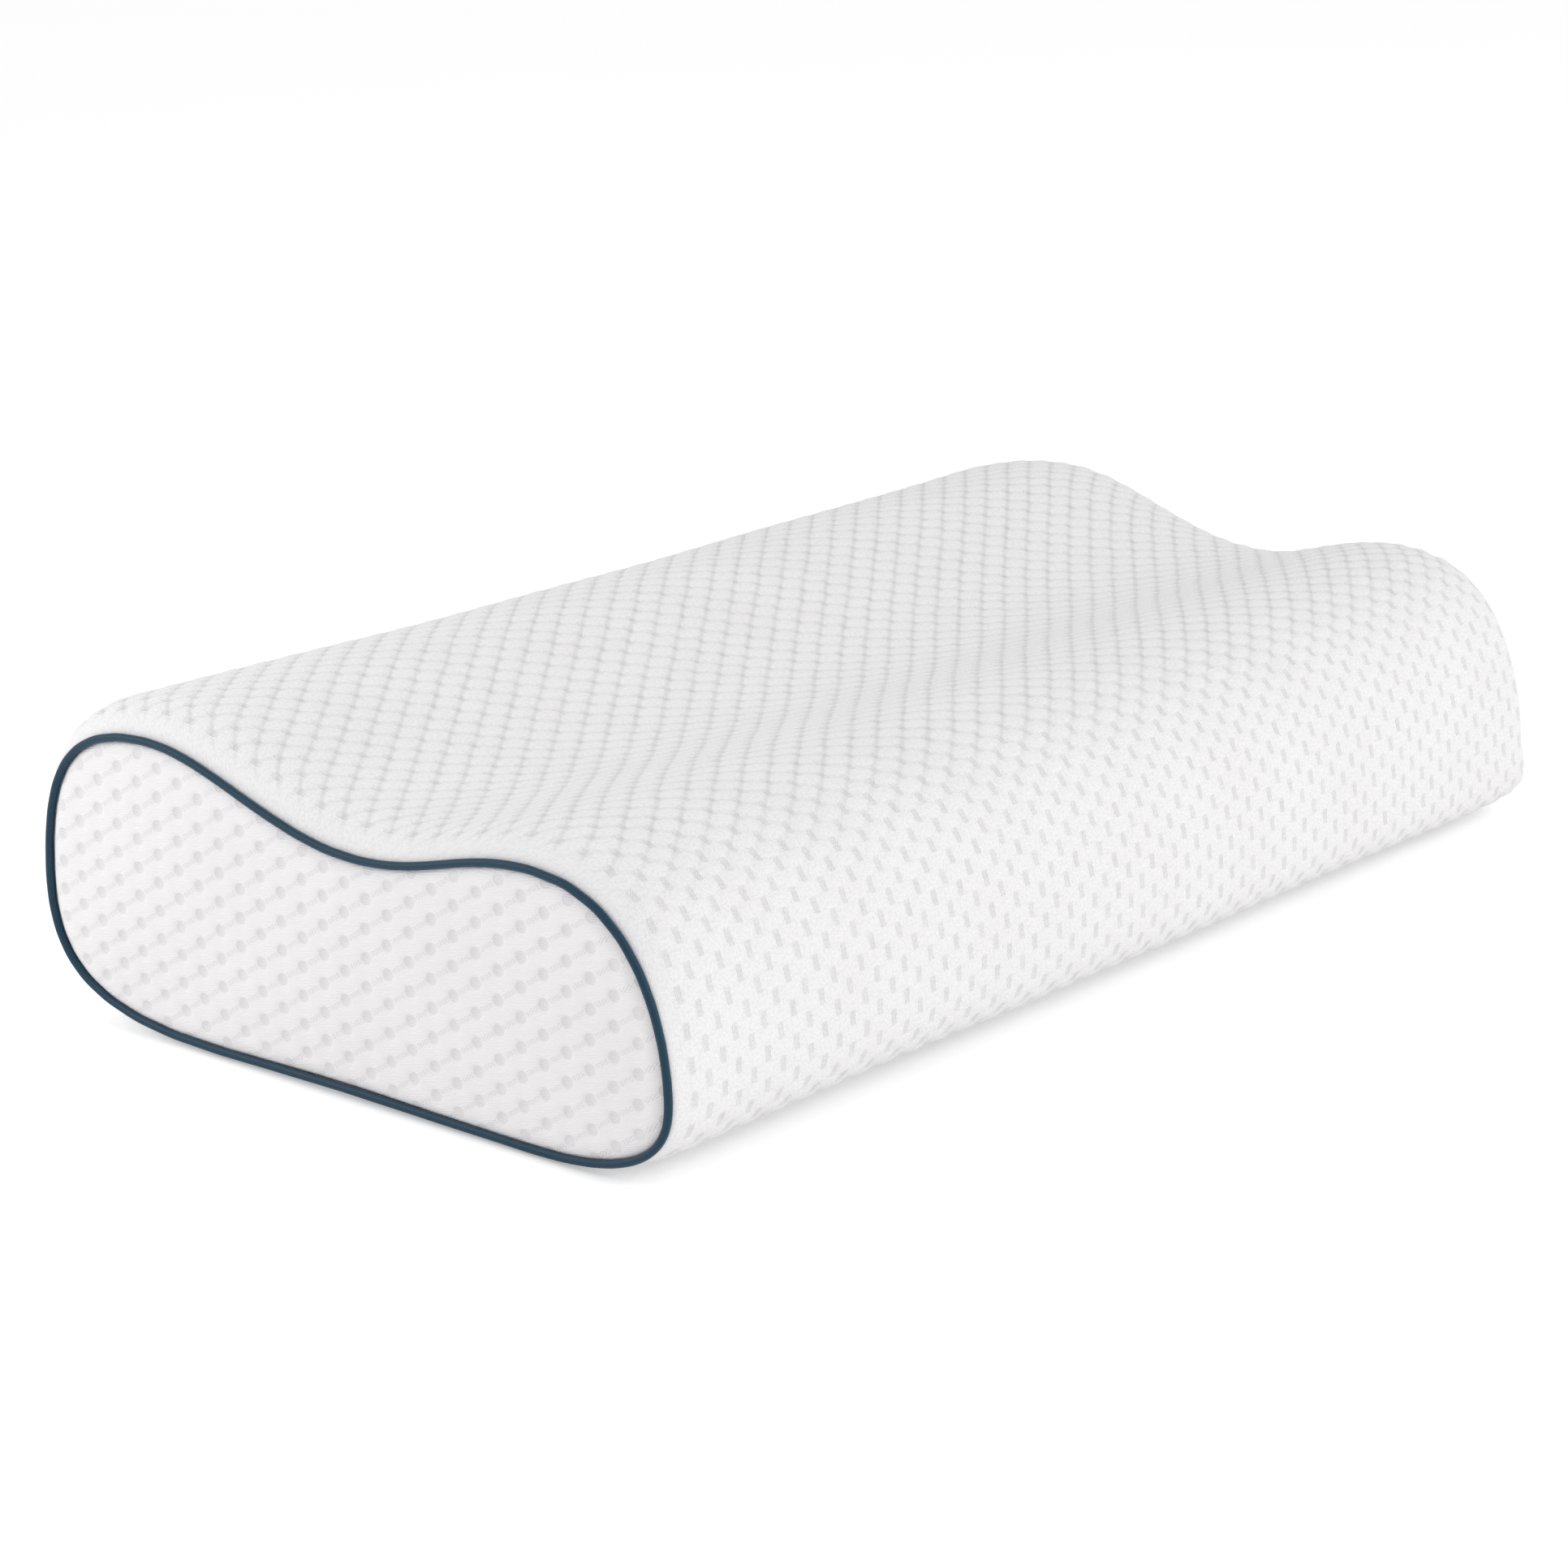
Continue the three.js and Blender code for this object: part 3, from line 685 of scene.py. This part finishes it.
def add_map(mesh, name, grid):
    """grid holds [column, row] map places. It has one row more than the points, to close the ring."""
    corners = np.stack([grid[:-1, :-1], grid[:-1, 1:], grid[1:, 1:], grid[1:, :-1]], axis=2)
    layer = mesh.uv_layers.new(name=name)
    layer.data.foreach_set("uv", corners.reshape(-1).astype(np.float32))


def unit_map(columns, rows):
    across, along = np.meshgrid(np.linspace(0, 1, columns), np.linspace(0, 1, rows + 1), indexing="ij")
    return np.stack([across, along], axis=-1)


def finished(name, mesh, material, body, nodes):
    """The mesh as a smooth piece that rides on a body and stands for CAD nodes."""
    piece = bpy.data.objects.new(name, mesh)
    bpy.context.scene.collection.objects.link(piece)
    mesh.materials.clear()
    mesh.materials.append(material)
    mesh.polygons.foreach_set("use_smooth", [True] * len(mesh.polygons))
    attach(piece, body)
    if nodes:
        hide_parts(*nodes)
    return piece


# ---------------------------------------------------------------- the knitted cover

def column_places():
    """Places along the cover: even steps between the roundings, then equal turns down to each seam."""
    step = COLUMN_PITCH / KNIT_STEPS_PER_COLUMN
    left_turns = np.linspace(math.pi / 2, 0, LEFT_ROUNDING_STEPS + 1)[:-1]
    left = -SEAM_X + LEFT_ROUNDING * (1 - np.sin(left_turns))
    right_turns = np.linspace(0, math.pi / 2, RIGHT_ROUNDING_STEPS + 1)[1:]
    right = SEAM_X - RIGHT_ROUNDING * (1 - np.sin(right_turns))
    first = math.ceil((LEFT_ROUNDING - SEAM_X) / step)
    last = math.floor((SEAM_X - RIGHT_ROUNDING) / step)
    middle = step * np.arange(first, last + 1)
    clear_of_middle = right > middle[-1] + step / 3
    return np.concatenate([left, middle, right[clear_of_middle]])


def cloth_places(xs):
    """How far along the cloth each place is, measured over the rounded ends, 0 in the middle."""
    mean_inset = 7 * MM
    steps = np.hypot(np.diff(xs), mean_inset * np.diff(rounded_share(xs)))
    places = np.concatenate([[0], np.cumsum(steps)])
    return places - np.interp(0, xs, places)


def knit_relief(across, along, margin_start):
    """Height of the puffs between the knit's two slants, and of the sunk dashes where those cross."""
    column = np.round(across / COLUMN_PITCH)
    from_column = across - column * COLUMN_PITCH
    steps = along / ROW_PITCH + 0.5 * np.mod(column, 2)
    from_dash = (steps - np.round(steps)) * ROW_PITCH
    rising = (across / COLUMN_PITCH + 2 * along / ROW_PITCH) / 2
    falling = (across / COLUMN_PITCH - 2 * along / ROW_PITCH) / 2
    puffs = np.sqrt(np.abs(np.sin(math.pi * rising) * np.sin(math.pi * falling)))
    dash = np.exp(-((from_column / (1.3 * MM)) ** 2) - (from_dash / DASH_HALF_LENGTH) ** 4)
    patterned = smooth_step(np.abs(across), margin_start, margin_start - PLAIN_MARGIN)
    return (puffs * PUFF_HEIGHT - dash * DASH_DEPTH) * patterned


def pucker_relief(from_seam, along):
    """Small gathers where the cover is sewn to the piping."""
    strength = np.exp(-from_seam / (9 * MM)) * smooth_step(from_seam, 0, 3 * MM)
    beat = np.sin(2 * math.pi * along / PUCKER_PITCH + 1.4 * np.sin(along / (37 * MM)))
    return PUCKER_HEIGHT * strength * beat * (0.6 + 0.4 * np.sin(along / (61 * MM) + 1))


def stuffing_relief(across, along):
    """Slow unevenness of the filling."""
    first = np.sin(across / (47 * MM) + 1.7 * np.sin(along / (83 * MM)))
    second = np.sin(along / (31 * MM) + 1.3 * np.sin(across / (59 * MM) + 2))
    return STUFFING_WAVE * first * second


def cover_relief(points, across, along, across_line, margin_start):
    """Height of the cloth over the cushion's form. It lies flat at the seams and the zip."""
    from_seam = np.minimum(across_line - across_line[0], across_line[-1] - across_line)[:, None]
    height = knit_relief(across, along, margin_start)
    height = height + pucker_relief(from_seam, along) + stuffing_relief(across, along)
    off_floor = smooth_step(points[..., 2], 0.5 * MM, 6 * MM)
    off_seam = smooth_step(from_seam, 0, 4 * MM)
    zip_y, zip_z = zip_centre()
    from_zip = np.hypot(points[..., 1] - zip_y, points[..., 2] - zip_z)
    off_zip = smooth_step(from_zip, 6 * MM, 22 * MM)
    pressed = RELIEF_UNDERNEATH + (1 - RELIEF_UNDERNEATH) * off_floor
    return height * pressed * off_seam * off_zip


def hemmed(surface, across_line):
    """The cover with the columns of its hem at both ends, and where every column is on the cloth."""
    left_hem = [hem_column(surface[0], depth, shift) for depth, shift in COVER_HEM][::-1]
    right_hem = [hem_column(surface[-1], depth, -shift) for depth, shift in COVER_HEM]
    depths = np.array([depth for depth, _ in COVER_HEM])
    left_cloth = across_line[0] - depths[::-1]
    right_cloth = across_line[-1] + depths
    whole = np.concatenate([np.array(left_hem), surface, np.array(right_hem)])
    return whole, np.concatenate([left_cloth, across_line, right_cloth])


def add_cover():
    row_count = round(FULL_LENGTH / KNIT_ROW_STEP)
    dash_rows = round(FULL_LENGTH / ROW_PITCH)
    angles = row_angles(row_count)
    xs = column_places()
    points = cushion_points(xs, angles)
    across_line = cloth_places(xs)
    along_line = np.arange(row_count + 1) / row_count * dash_rows * ROW_PITCH
    across, along = np.meshgrid(across_line, along_line[:-1], indexing="ij")
    margin_start = min(-across_line[0], across_line[-1]) - PLAIN_EDGE
    height = cover_relief(points, across, along, across_line, margin_start)
    surface = points + outward_normals(points) * height[..., None]
    surface[..., 2] = np.maximum(surface[..., 2], 0)
    whole, cloth_line = hemmed(surface, across_line)
    cloth = np.stack(np.meshgrid(cloth_line, along_line, indexing="ij"), axis=-1)
    mesh = grid_mesh("cover", whole, cloth, unit_map(len(cloth_line), row_count))
    open_slot(mesh, zip_centre())
    slack_start, slack_end = np.interp(SLACK_ANGLES, angles, along_line[:-1])
    knit = jacquard_finish(margin_start, slack_start, slack_end)
    cover = finished("cover", mesh, knit, "pillow", ["cover_wrap"])


def hem_column(edge, depth, shift):
    """The edge of the cover turned in towards the middle line, behind the piping."""
    inwards = edge * [0, 1, 1] - [0, 0, MIDDLE_HEIGHT]
    inwards = inwards / np.linalg.norm(inwards, axis=-1, keepdims=True)
    column = edge - inwards * depth
    column[:, 0] = column[:, 0] + shift
    return column


def zip_centre():
    """(y, z) midway between the two coils, on the cover's face."""
    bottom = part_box("zip_coil_lower")[0][2]
    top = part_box("zip_coil_upper")[1][2]
    z = (bottom + top) / 2
    return (cover_face_y(z), z)


def cover_face_y(z):
    """Y of the cover's back face at a height."""
    well_behind_middle = FULL_RING[:, 0] > 100 * MM
    back = FULL_RING[well_behind_middle]
    back = back[np.argsort(back[:, 1])]
    return float(np.interp(z, back[:, 1], back[:, 0]))


def open_slot(mesh, middle):
    """Removes the cloth over the zip and turns the slot's edges in."""
    cover = bmesh.new()
    cover.from_mesh(mesh)
    over_zip = []
    for face in cover.faces:
        place = face.calc_center_median()
        distance = math.hypot(place.y - middle[0], place.z - middle[1])
        if abs(place.x) < SLOT_HALF_LENGTH and distance < SLOT_HALF_HEIGHT:
            over_zip.append(face)
    bmesh.ops.delete(cover, geom=over_zip, context="FACES")
    slot_edges = []
    for edge in cover.edges:
        inside = abs(edge.verts[0].co.x) < SLOT_HALF_LENGTH + 5 * MM
        if edge.is_boundary and inside:
            slot_edges.append(edge)
    inwards = Vector((0, -math.cos(ZIP_TILT), -math.sin(ZIP_TILT)))
    for depth in SLOT_TURNS:
        turned = bmesh.ops.extrude_edge_only(cover, edges=slot_edges)["geom"]
        slot_edges = [part for part in turned if isinstance(part, bmesh.types.BMEdge)]
        moved = [part for part in turned if isinstance(part, bmesh.types.BMVert)]
        bmesh.ops.translate(cover, verts=moved, vec=inwards * depth)
    cover.to_mesh(mesh)
    cover.free()


# ---------------------------------------------------------------- the piped ends

def end_outline(side, count, inset=0.0):
    """(y, z) round the end on one side, drawn in where the right end is."""
    ring, _ = evened(END_RING, count)
    angles = np.sort(angles_of(ring))
    radii = end_radii(side * HALF_LENGTH, angles) - inset
    y, z = end_places(radii, angles)
    y = tapered(side * PIPING_X, y, z, facing_front_of(angles))
    return np.stack([y, z], axis=-1)


def add_tube(name, side, radius, material, node):
    """A round cord or its cover, all round one end."""
    outline = end_outline(side, PIPING_COUNT)
    tangent = np.roll(outline, -1, axis=0) - np.roll(outline, 1, axis=0)
    tangent = tangent / np.linalg.norm(tangent, axis=-1, keepdims=True)
    outwards = np.stack([tangent[:, 1], -tangent[:, 0]], axis=-1)
    closed = np.vstack([outline, outline[:1]])
    lengths = np.concatenate([[0], np.cumsum(np.hypot(*np.diff(closed, axis=0).T))])
    turns = 2 * math.pi * np.arange(PIPING_STEPS_ROUND) / PIPING_STEPS_ROUND
    uneven = 1 + 0.03 * np.sin(lengths[:-1] / (9 * MM)) * np.sin(lengths[:-1] / (23 * MM))
    reach = (radius * uneven)[:, None]
    x = side * PIPING_X + reach * np.sin(turns)
    y = outline[:, 0:1] + outwards[:, 0:1] * np.cos(turns) * reach
    z = outline[:, 1:2] + outwards[:, 1:2] * np.cos(turns) * reach
    points = np.stack([x, y, z], axis=-1)
    points = np.concatenate([points, points[:1]])
    around = radius * 2 * math.pi * np.linspace(0, 1, PIPING_STEPS_ROUND + 1)
    cloth = np.stack(np.meshgrid(lengths, around, indexing="ij"), axis=-1)
    mesh = grid_mesh(name, points, cloth, unit_map(PIPING_COUNT + 1, PIPING_STEPS_ROUND))
    turn_outwards(mesh)
    finished(name, mesh, material, "pillow", [node])


def turn_outwards(mesh):
    """Joins doubled points and makes every face look outwards."""
    body = bmesh.new()
    body.from_mesh(mesh)
    bmesh.ops.remove_doubles(body, verts=body.verts, dist=0.01 * MM)
    bmesh.ops.recalc_face_normals(body, faces=body.faces)
    body.to_mesh(mesh)
    body.free()


def eyelet_relief(y, z):
    """How deep the eyelets are sunk at each point of the panel."""
    column = np.round((EYELET_START[0] - y) / EYELET_COLUMN)
    from_column = y - EYELET_START[0] + column * EYELET_COLUMN
    climb = z - EYELET_START[1] + column * EYELET_SLANT
    from_eyelet = climb - np.round(climb / EYELET_PITCH) * EYELET_PITCH
    reach = (from_column / EYELET_HALF_WIDTH) ** 2 + (from_eyelet / EYELET_HALF_HEIGHT) ** 2
    swell = np.cos(math.pi * from_column / EYELET_COLUMN) * np.cos(math.pi * from_eyelet / EYELET_PITCH)
    return -EYELET_DEPTH * np.exp(-(reach**1.5) * 0.9) - 0.12 * MM * swell


def panel_waves(y, z):
    """Slow unevenness of the panel over the filling."""
    return PANEL_WAVE * np.sin(y / (23 * MM) + 1.2 * np.sin(z / (19 * MM))) * np.sin(z / (17 * MM))


def spine_of(outline):
    """The points on the panel's middle line that its rings close onto."""
    front = outline[:, 0].min() + SPINE_FROM_FRONT
    back = outline[:, 0].max() - SPINE_FROM_BACK
    y = np.clip(outline[:, 0], front, back)
    return np.stack([y, 0 * y + SPINE_HEIGHT], axis=-1)


def panel_grid(side):
    """Points [ring, place] (y, z) from the outline in to the middle line."""
    outline = end_outline(side, PANEL_COUNT, PANEL_EDGE_INSET)
    spine = spine_of(outline)
    shares = np.linspace(0, 1, PANEL_RINGS)[:, None, None]
    return outline + (spine - outline) * shares


def add_panel(name, side, node, material):
    grid = panel_grid(side)
    y = grid[..., 0]
    z = grid[..., 1]
    from_edge = np.linalg.norm(grid - grid[:1], axis=-1)
    rise = 1 - (1 - np.clip(from_edge / PANEL_EDGE_ROUNDING, 0, 1)) ** 2
    cad_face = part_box(node)[1][0] if side > 0 else -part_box(node)[0][0]
    bulge = PANEL_BULGE * smooth_step(from_edge, 0, PANEL_BULGE_REACH)
    settled = smooth_step(from_edge, 2 * MM, 9 * MM)
    relief = (panel_waves(y, z) + eyelet_relief(y, z)) * settled
    out = cad_face - PANEL_HEM * (1 - rise) + bulge + relief
    points = np.stack([side * out, y, z], axis=-1)
    hem = points[:1].copy()
    hem[..., 0] = side * (cad_face - PANEL_HEM - 3 * MM)
    points = np.concatenate([hem, points])
    flat = np.concatenate([grid[:1], grid])
    cloth = np.concatenate([flat, flat[:, :1]], axis=1)
    low = cloth.min(axis=(0, 1))
    high = cloth.max(axis=(0, 1))
    mesh = grid_mesh(name, points, cloth, (cloth - low) / (high - low).max())
    face_one_way(mesh, side)
    panel = finished(name, mesh, material, "pillow", [node])


def face_one_way(mesh, side):
    """Joins the panel's middle line, and turns its faces to its own side."""
    panel = bmesh.new()
    panel.from_mesh(mesh)
    bmesh.ops.remove_doubles(panel, verts=panel.verts, dist=0.01 * MM)
    wrong = [face for face in panel.faces if face.normal.x * side < -0.05]
    if len(wrong) > len(panel.faces) / 2:
        bmesh.ops.reverse_faces(panel, faces=panel.faces)
    panel.to_mesh(mesh)
    panel.free()


# ---------------------------------------------------------------- inside the cover

def inner_solid(name, inset, end_x, material, nodes):
    """A closed body under the cover: the cushion's form, set in, with flat ends."""
    rows = round(FULL_LENGTH / INNER_STEP)
    angles = row_angles(rows)
    columns = round(2 * end_x / INNER_STEP)
    xs = np.linspace(-end_x, end_x, columns)
    points = cushion_points(xs, angles)
    points = points - outward_normals(points) * inset
    points[..., 0] = xs[:, None]
    points[..., 2] = np.maximum(points[..., 2], inset)
    left = closing_rings(points[0])[::-1]
    right = closing_rings(points[-1])
    whole = np.concatenate([left, points, right])
    across = np.linspace(0, 2 * end_x + 0.1, len(whole))
    along = np.linspace(0, FULL_LENGTH, rows + 1)
    cloth = np.stack(np.meshgrid(across, along, indexing="ij"), axis=-1)
    mesh = grid_mesh(name, whole, cloth, unit_map(len(whole), rows))
    turn_outwards(mesh)
    return finished(name, mesh, material, "pillow", nodes)


def closing_rings(edge):
    """Rings that close the end of a body onto its middle line."""
    spine = spine_of(edge[:, 1:])
    target = np.column_stack([edge[:, 0], spine])
    shares = np.linspace(0, 1, CLOSING_RINGS + 1)[1:, None, None]
    return edge + (target - edge) * shares


# ---------------------------------------------------------------- the zip

def dressed(node, name, material, body, bevel):
    """A copy of a CAD solid with its edges eased."""
    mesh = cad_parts[node].data.copy()
    mesh.name = name
    turn_outwards(mesh)
    piece = finished(name, mesh, material, body, [node])
    ease = piece.modifiers.new("ease", "BEVEL")
    ease.width = bevel
    ease.segments = 2
    ease.limit_method = "ANGLE"
    ease.angle_limit = SHARP_EDGE
    apply_modifier(piece, ease)
    only(piece)
    bpy.ops.object.shade_smooth_by_angle(angle=SHARP_EDGE)


def only(piece):
    """Selects this piece and nothing else."""
    bpy.ops.object.select_all(action="DESELECT")
    piece.select_set(True)
    bpy.context.view_layer.objects.active = piece


def apply_modifier(piece, modifier):
    only(piece)
    bpy.ops.object.modifier_apply(modifier=modifier.name)


def repeated(piece, pitch, count):
    """The mesh of a row of copies of this piece along X. The piece itself is removed."""
    row = piece.modifiers.new("row", "ARRAY")
    row.use_relative_offset = False
    row.use_constant_offset = True
    row.constant_offset_displace = (pitch, 0, 0)
    row.count = count
    apply_modifier(piece, row)
    mesh = piece.data
    bpy.data.objects.remove(piece)
    return mesh


def add_coil(node, name, material):
    """Turns of nylon, one beside the next along the tape."""
    low, high = (Vector(corner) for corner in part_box(node))
    middle = (low + high) / 2
    bpy.ops.object.select_all(action="DESELECT")
    bpy.ops.mesh.primitive_torus_add(
        major_segments=12, minor_segments=6,
        major_radius=COIL_HALF_HEIGHT - COIL_WIRE_RADIUS / 2, minor_radius=COIL_WIRE_RADIUS,
        location=(low.x + COIL_PITCH / 2, middle.y, middle.z), rotation=(0, math.pi / 2, 0))
    turn = bpy.context.active_object
    bpy.ops.object.transform_apply(location=False, rotation=True, scale=False)
    turn.scale = (1.0, COIL_HALF_DEPTH / COIL_HALF_HEIGHT, 1.0)
    turn.rotation_euler = (ZIP_TILT, 0, 0)
    bpy.ops.object.transform_apply(location=True, rotation=True, scale=True)
    mesh = repeated(turn, COIL_PITCH, int((high.x - low.x) / COIL_PITCH))
    finished(name, mesh, material, "pillow", [node])


def add_stitches(name, middle, offset, material):
    """A row of stitches beside the slot."""
    bpy.ops.object.select_all(action="DESELECT")
    z = middle[1] + offset * math.cos(ZIP_TILT)
    place = Vector((-SLOT_HALF_LENGTH, cover_face_y(z) - STITCH_DEPTH, z))
    bpy.ops.mesh.primitive_uv_sphere_add(segments=8, ring_count=6, radius=1.0, location=place)
    stitch = bpy.context.active_object
    stitch.scale = STITCH_HALF_SIZE
    stitch.rotation_euler = (ZIP_TILT, 0, STITCH_SLANT)
    bpy.ops.object.transform_apply(location=True, rotation=True, scale=True)
    mesh = repeated(stitch, STITCH_PITCH, int(2 * SLOT_HALF_LENGTH / STITCH_PITCH))
    finished(name, mesh, material, "pillow", [])


# ---------------------------------------------------------------- stage

def add_floor():
    """A pale floor that glows for the camera alone, so that it meets the white behind with no line."""
    bpy.ops.object.select_all(action="DESELECT")
    bpy.ops.mesh.primitive_plane_add(size=FLOOR_SIZE, location=(0, 0, -FLOOR_DROP))
    floor = bpy.context.active_object
    floor.name = "floor"
    finish = Finish("floor", Roughness=0.9, Specular_IOR_Level=0.1)
    grain = finish.noise(finish.place(), 3.0)
    finish.colour(finish.mix(grain, (0.93, 0.93, 0.93, 1), (0.94, 0.94, 0.94, 1)))
    finish.shader.inputs["Emission Color"].default_value = (1, 1, 1, 1)
    seen = finish.node("ShaderNodeLightPath", {}, {}).outputs["Is Camera Ray"]
    values = {"Value": seen, "To Min": FLOOR_GLOW_ON_PILLOW, "To Max": FLOOR_GLOW}
    glow = finish.node("ShaderNodeMapRange", {}, values)
    finish.feed(finish.shader.inputs["Emission Strength"], glow.outputs[0])
    floor.data.materials.append(finish.material)


def add_light(name, location, size, power):
    """A square light that faces the pillow."""
    light = bpy.data.lights.new(name, "AREA")
    light.shape = "SQUARE"
    light.size = size
    light.energy = power
    lamp = bpy.data.objects.new(name, light)
    lamp.location = location
    towards_pillow = Vector((0, 0, MIDDLE_HEIGHT)) - Vector(location)
    lamp.rotation_euler = towards_pillow.to_track_quat("-Z", "Y").to_euler()
    bpy.context.scene.collection.objects.link(lamp)


def add_daylight():
    """Even light from all sides, which the camera sees as plain white."""
    world = bpy.data.worlds.new("studio")
    world.use_nodes = True
    background = world.node_tree.nodes["Background"]
    background.inputs["Color"].default_value = (1.0, 1.0, 1.0, 1)
    seen = world.node_tree.nodes.new("ShaderNodeLightPath").outputs["Is Camera Ray"]
    strength = world.node_tree.nodes.new("ShaderNodeMapRange")
    strength.inputs["To Min"].default_value = SKY_LIGHT
    strength.inputs["To Max"].default_value = 1.0
    world.node_tree.links.new(seen, strength.inputs["Value"])
    world.node_tree.links.new(strength.outputs[0], background.inputs["Strength"])
    bpy.context.scene.world = world


def add_camera():
    camera = bpy.data.cameras.new("camera")
    camera.lens = CAMERA_LENS
    camera.sensor_width = CAMERA_SENSOR
    camera.clip_end = CAMERA_REACH
    holder = bpy.data.objects.new("camera", camera)
    holder.location = CAMERA_PLACE
    holder.rotation_euler = CAMERA_TURNS
    bpy.context.scene.collection.objects.link(holder)
    bpy.context.scene.camera = holder


# ---------------------------------------------------------------- the whole pillow

def add_pillow():
    add_cover()
    mesh_knit = mesh_knit_finish()
    satin = piping_finish()
    cord = cord_finish()
    for side, word in ((-1, "left"), (1, "right")):
        add_panel(f"panel_{word}", side, f"end_panel_{word}", mesh_knit)
        add_tube(f"piping_tube_{word}", side, PIPING_RADIUS, satin, f"piping_{word}")
        add_tube(f"cord_{word}", side, PIPING_CORD_RADIUS, cord, f"piping_cord_{word}")
    liner_nodes = ["liner_sleeve", "liner_end_left", "liner_end_right"]
    inner_solid("liner", LINER_INSET, LINER_END_X, liner_finish(), liner_nodes)
    core = inner_solid("core", CORE_INSET, CORE_END_X, foam_finish(), ["foam_core"])


def add_zip():
    tape = tape_finish()
    coil = coil_finish()
    nickel = nickel_finish()
    for part in ("upper", "lower"):
        dressed(f"zip_tape_{part}", f"tape_{part}", tape, "pillow", TAPE_EASE)
        add_coil(f"zip_coil_{part}", f"coil_{part}", coil)
        dressed(f"zip_top_stop_{part}", f"top_stop_{part}", nickel, "pillow", STOP_EASE)
    dressed("zip_bottom_stop", "bottom_stop", nickel, "pillow", STOP_EASE)
    dressed("zip_slider", "slider", nickel, "zip_slider", SLIDER_EASE)
    dressed("zip_pull", "pull", nickel, "zip_pull", PULL_EASE)
    dressed("care_label", "label", label_finish(), "pillow", LABEL_EASE)
    middle = zip_centre()
    for side, word in ((1, "upper"), (-1, "lower")):
        add_stitches(f"stitches_{word}", middle, side * STITCHES_FROM_ZIP, tape)


add_camera()
add_daylight()
add_floor()
add_light("front_box", location=(0.6, -2.6, 1.5), size=2.2, power=28)
add_light("left_box", location=(-0.78, 0.62, 0.55), size=0.5, power=2.6)
add_pillow()
add_zip()
bpy.context.scene.view_settings.view_transform = "Standard"
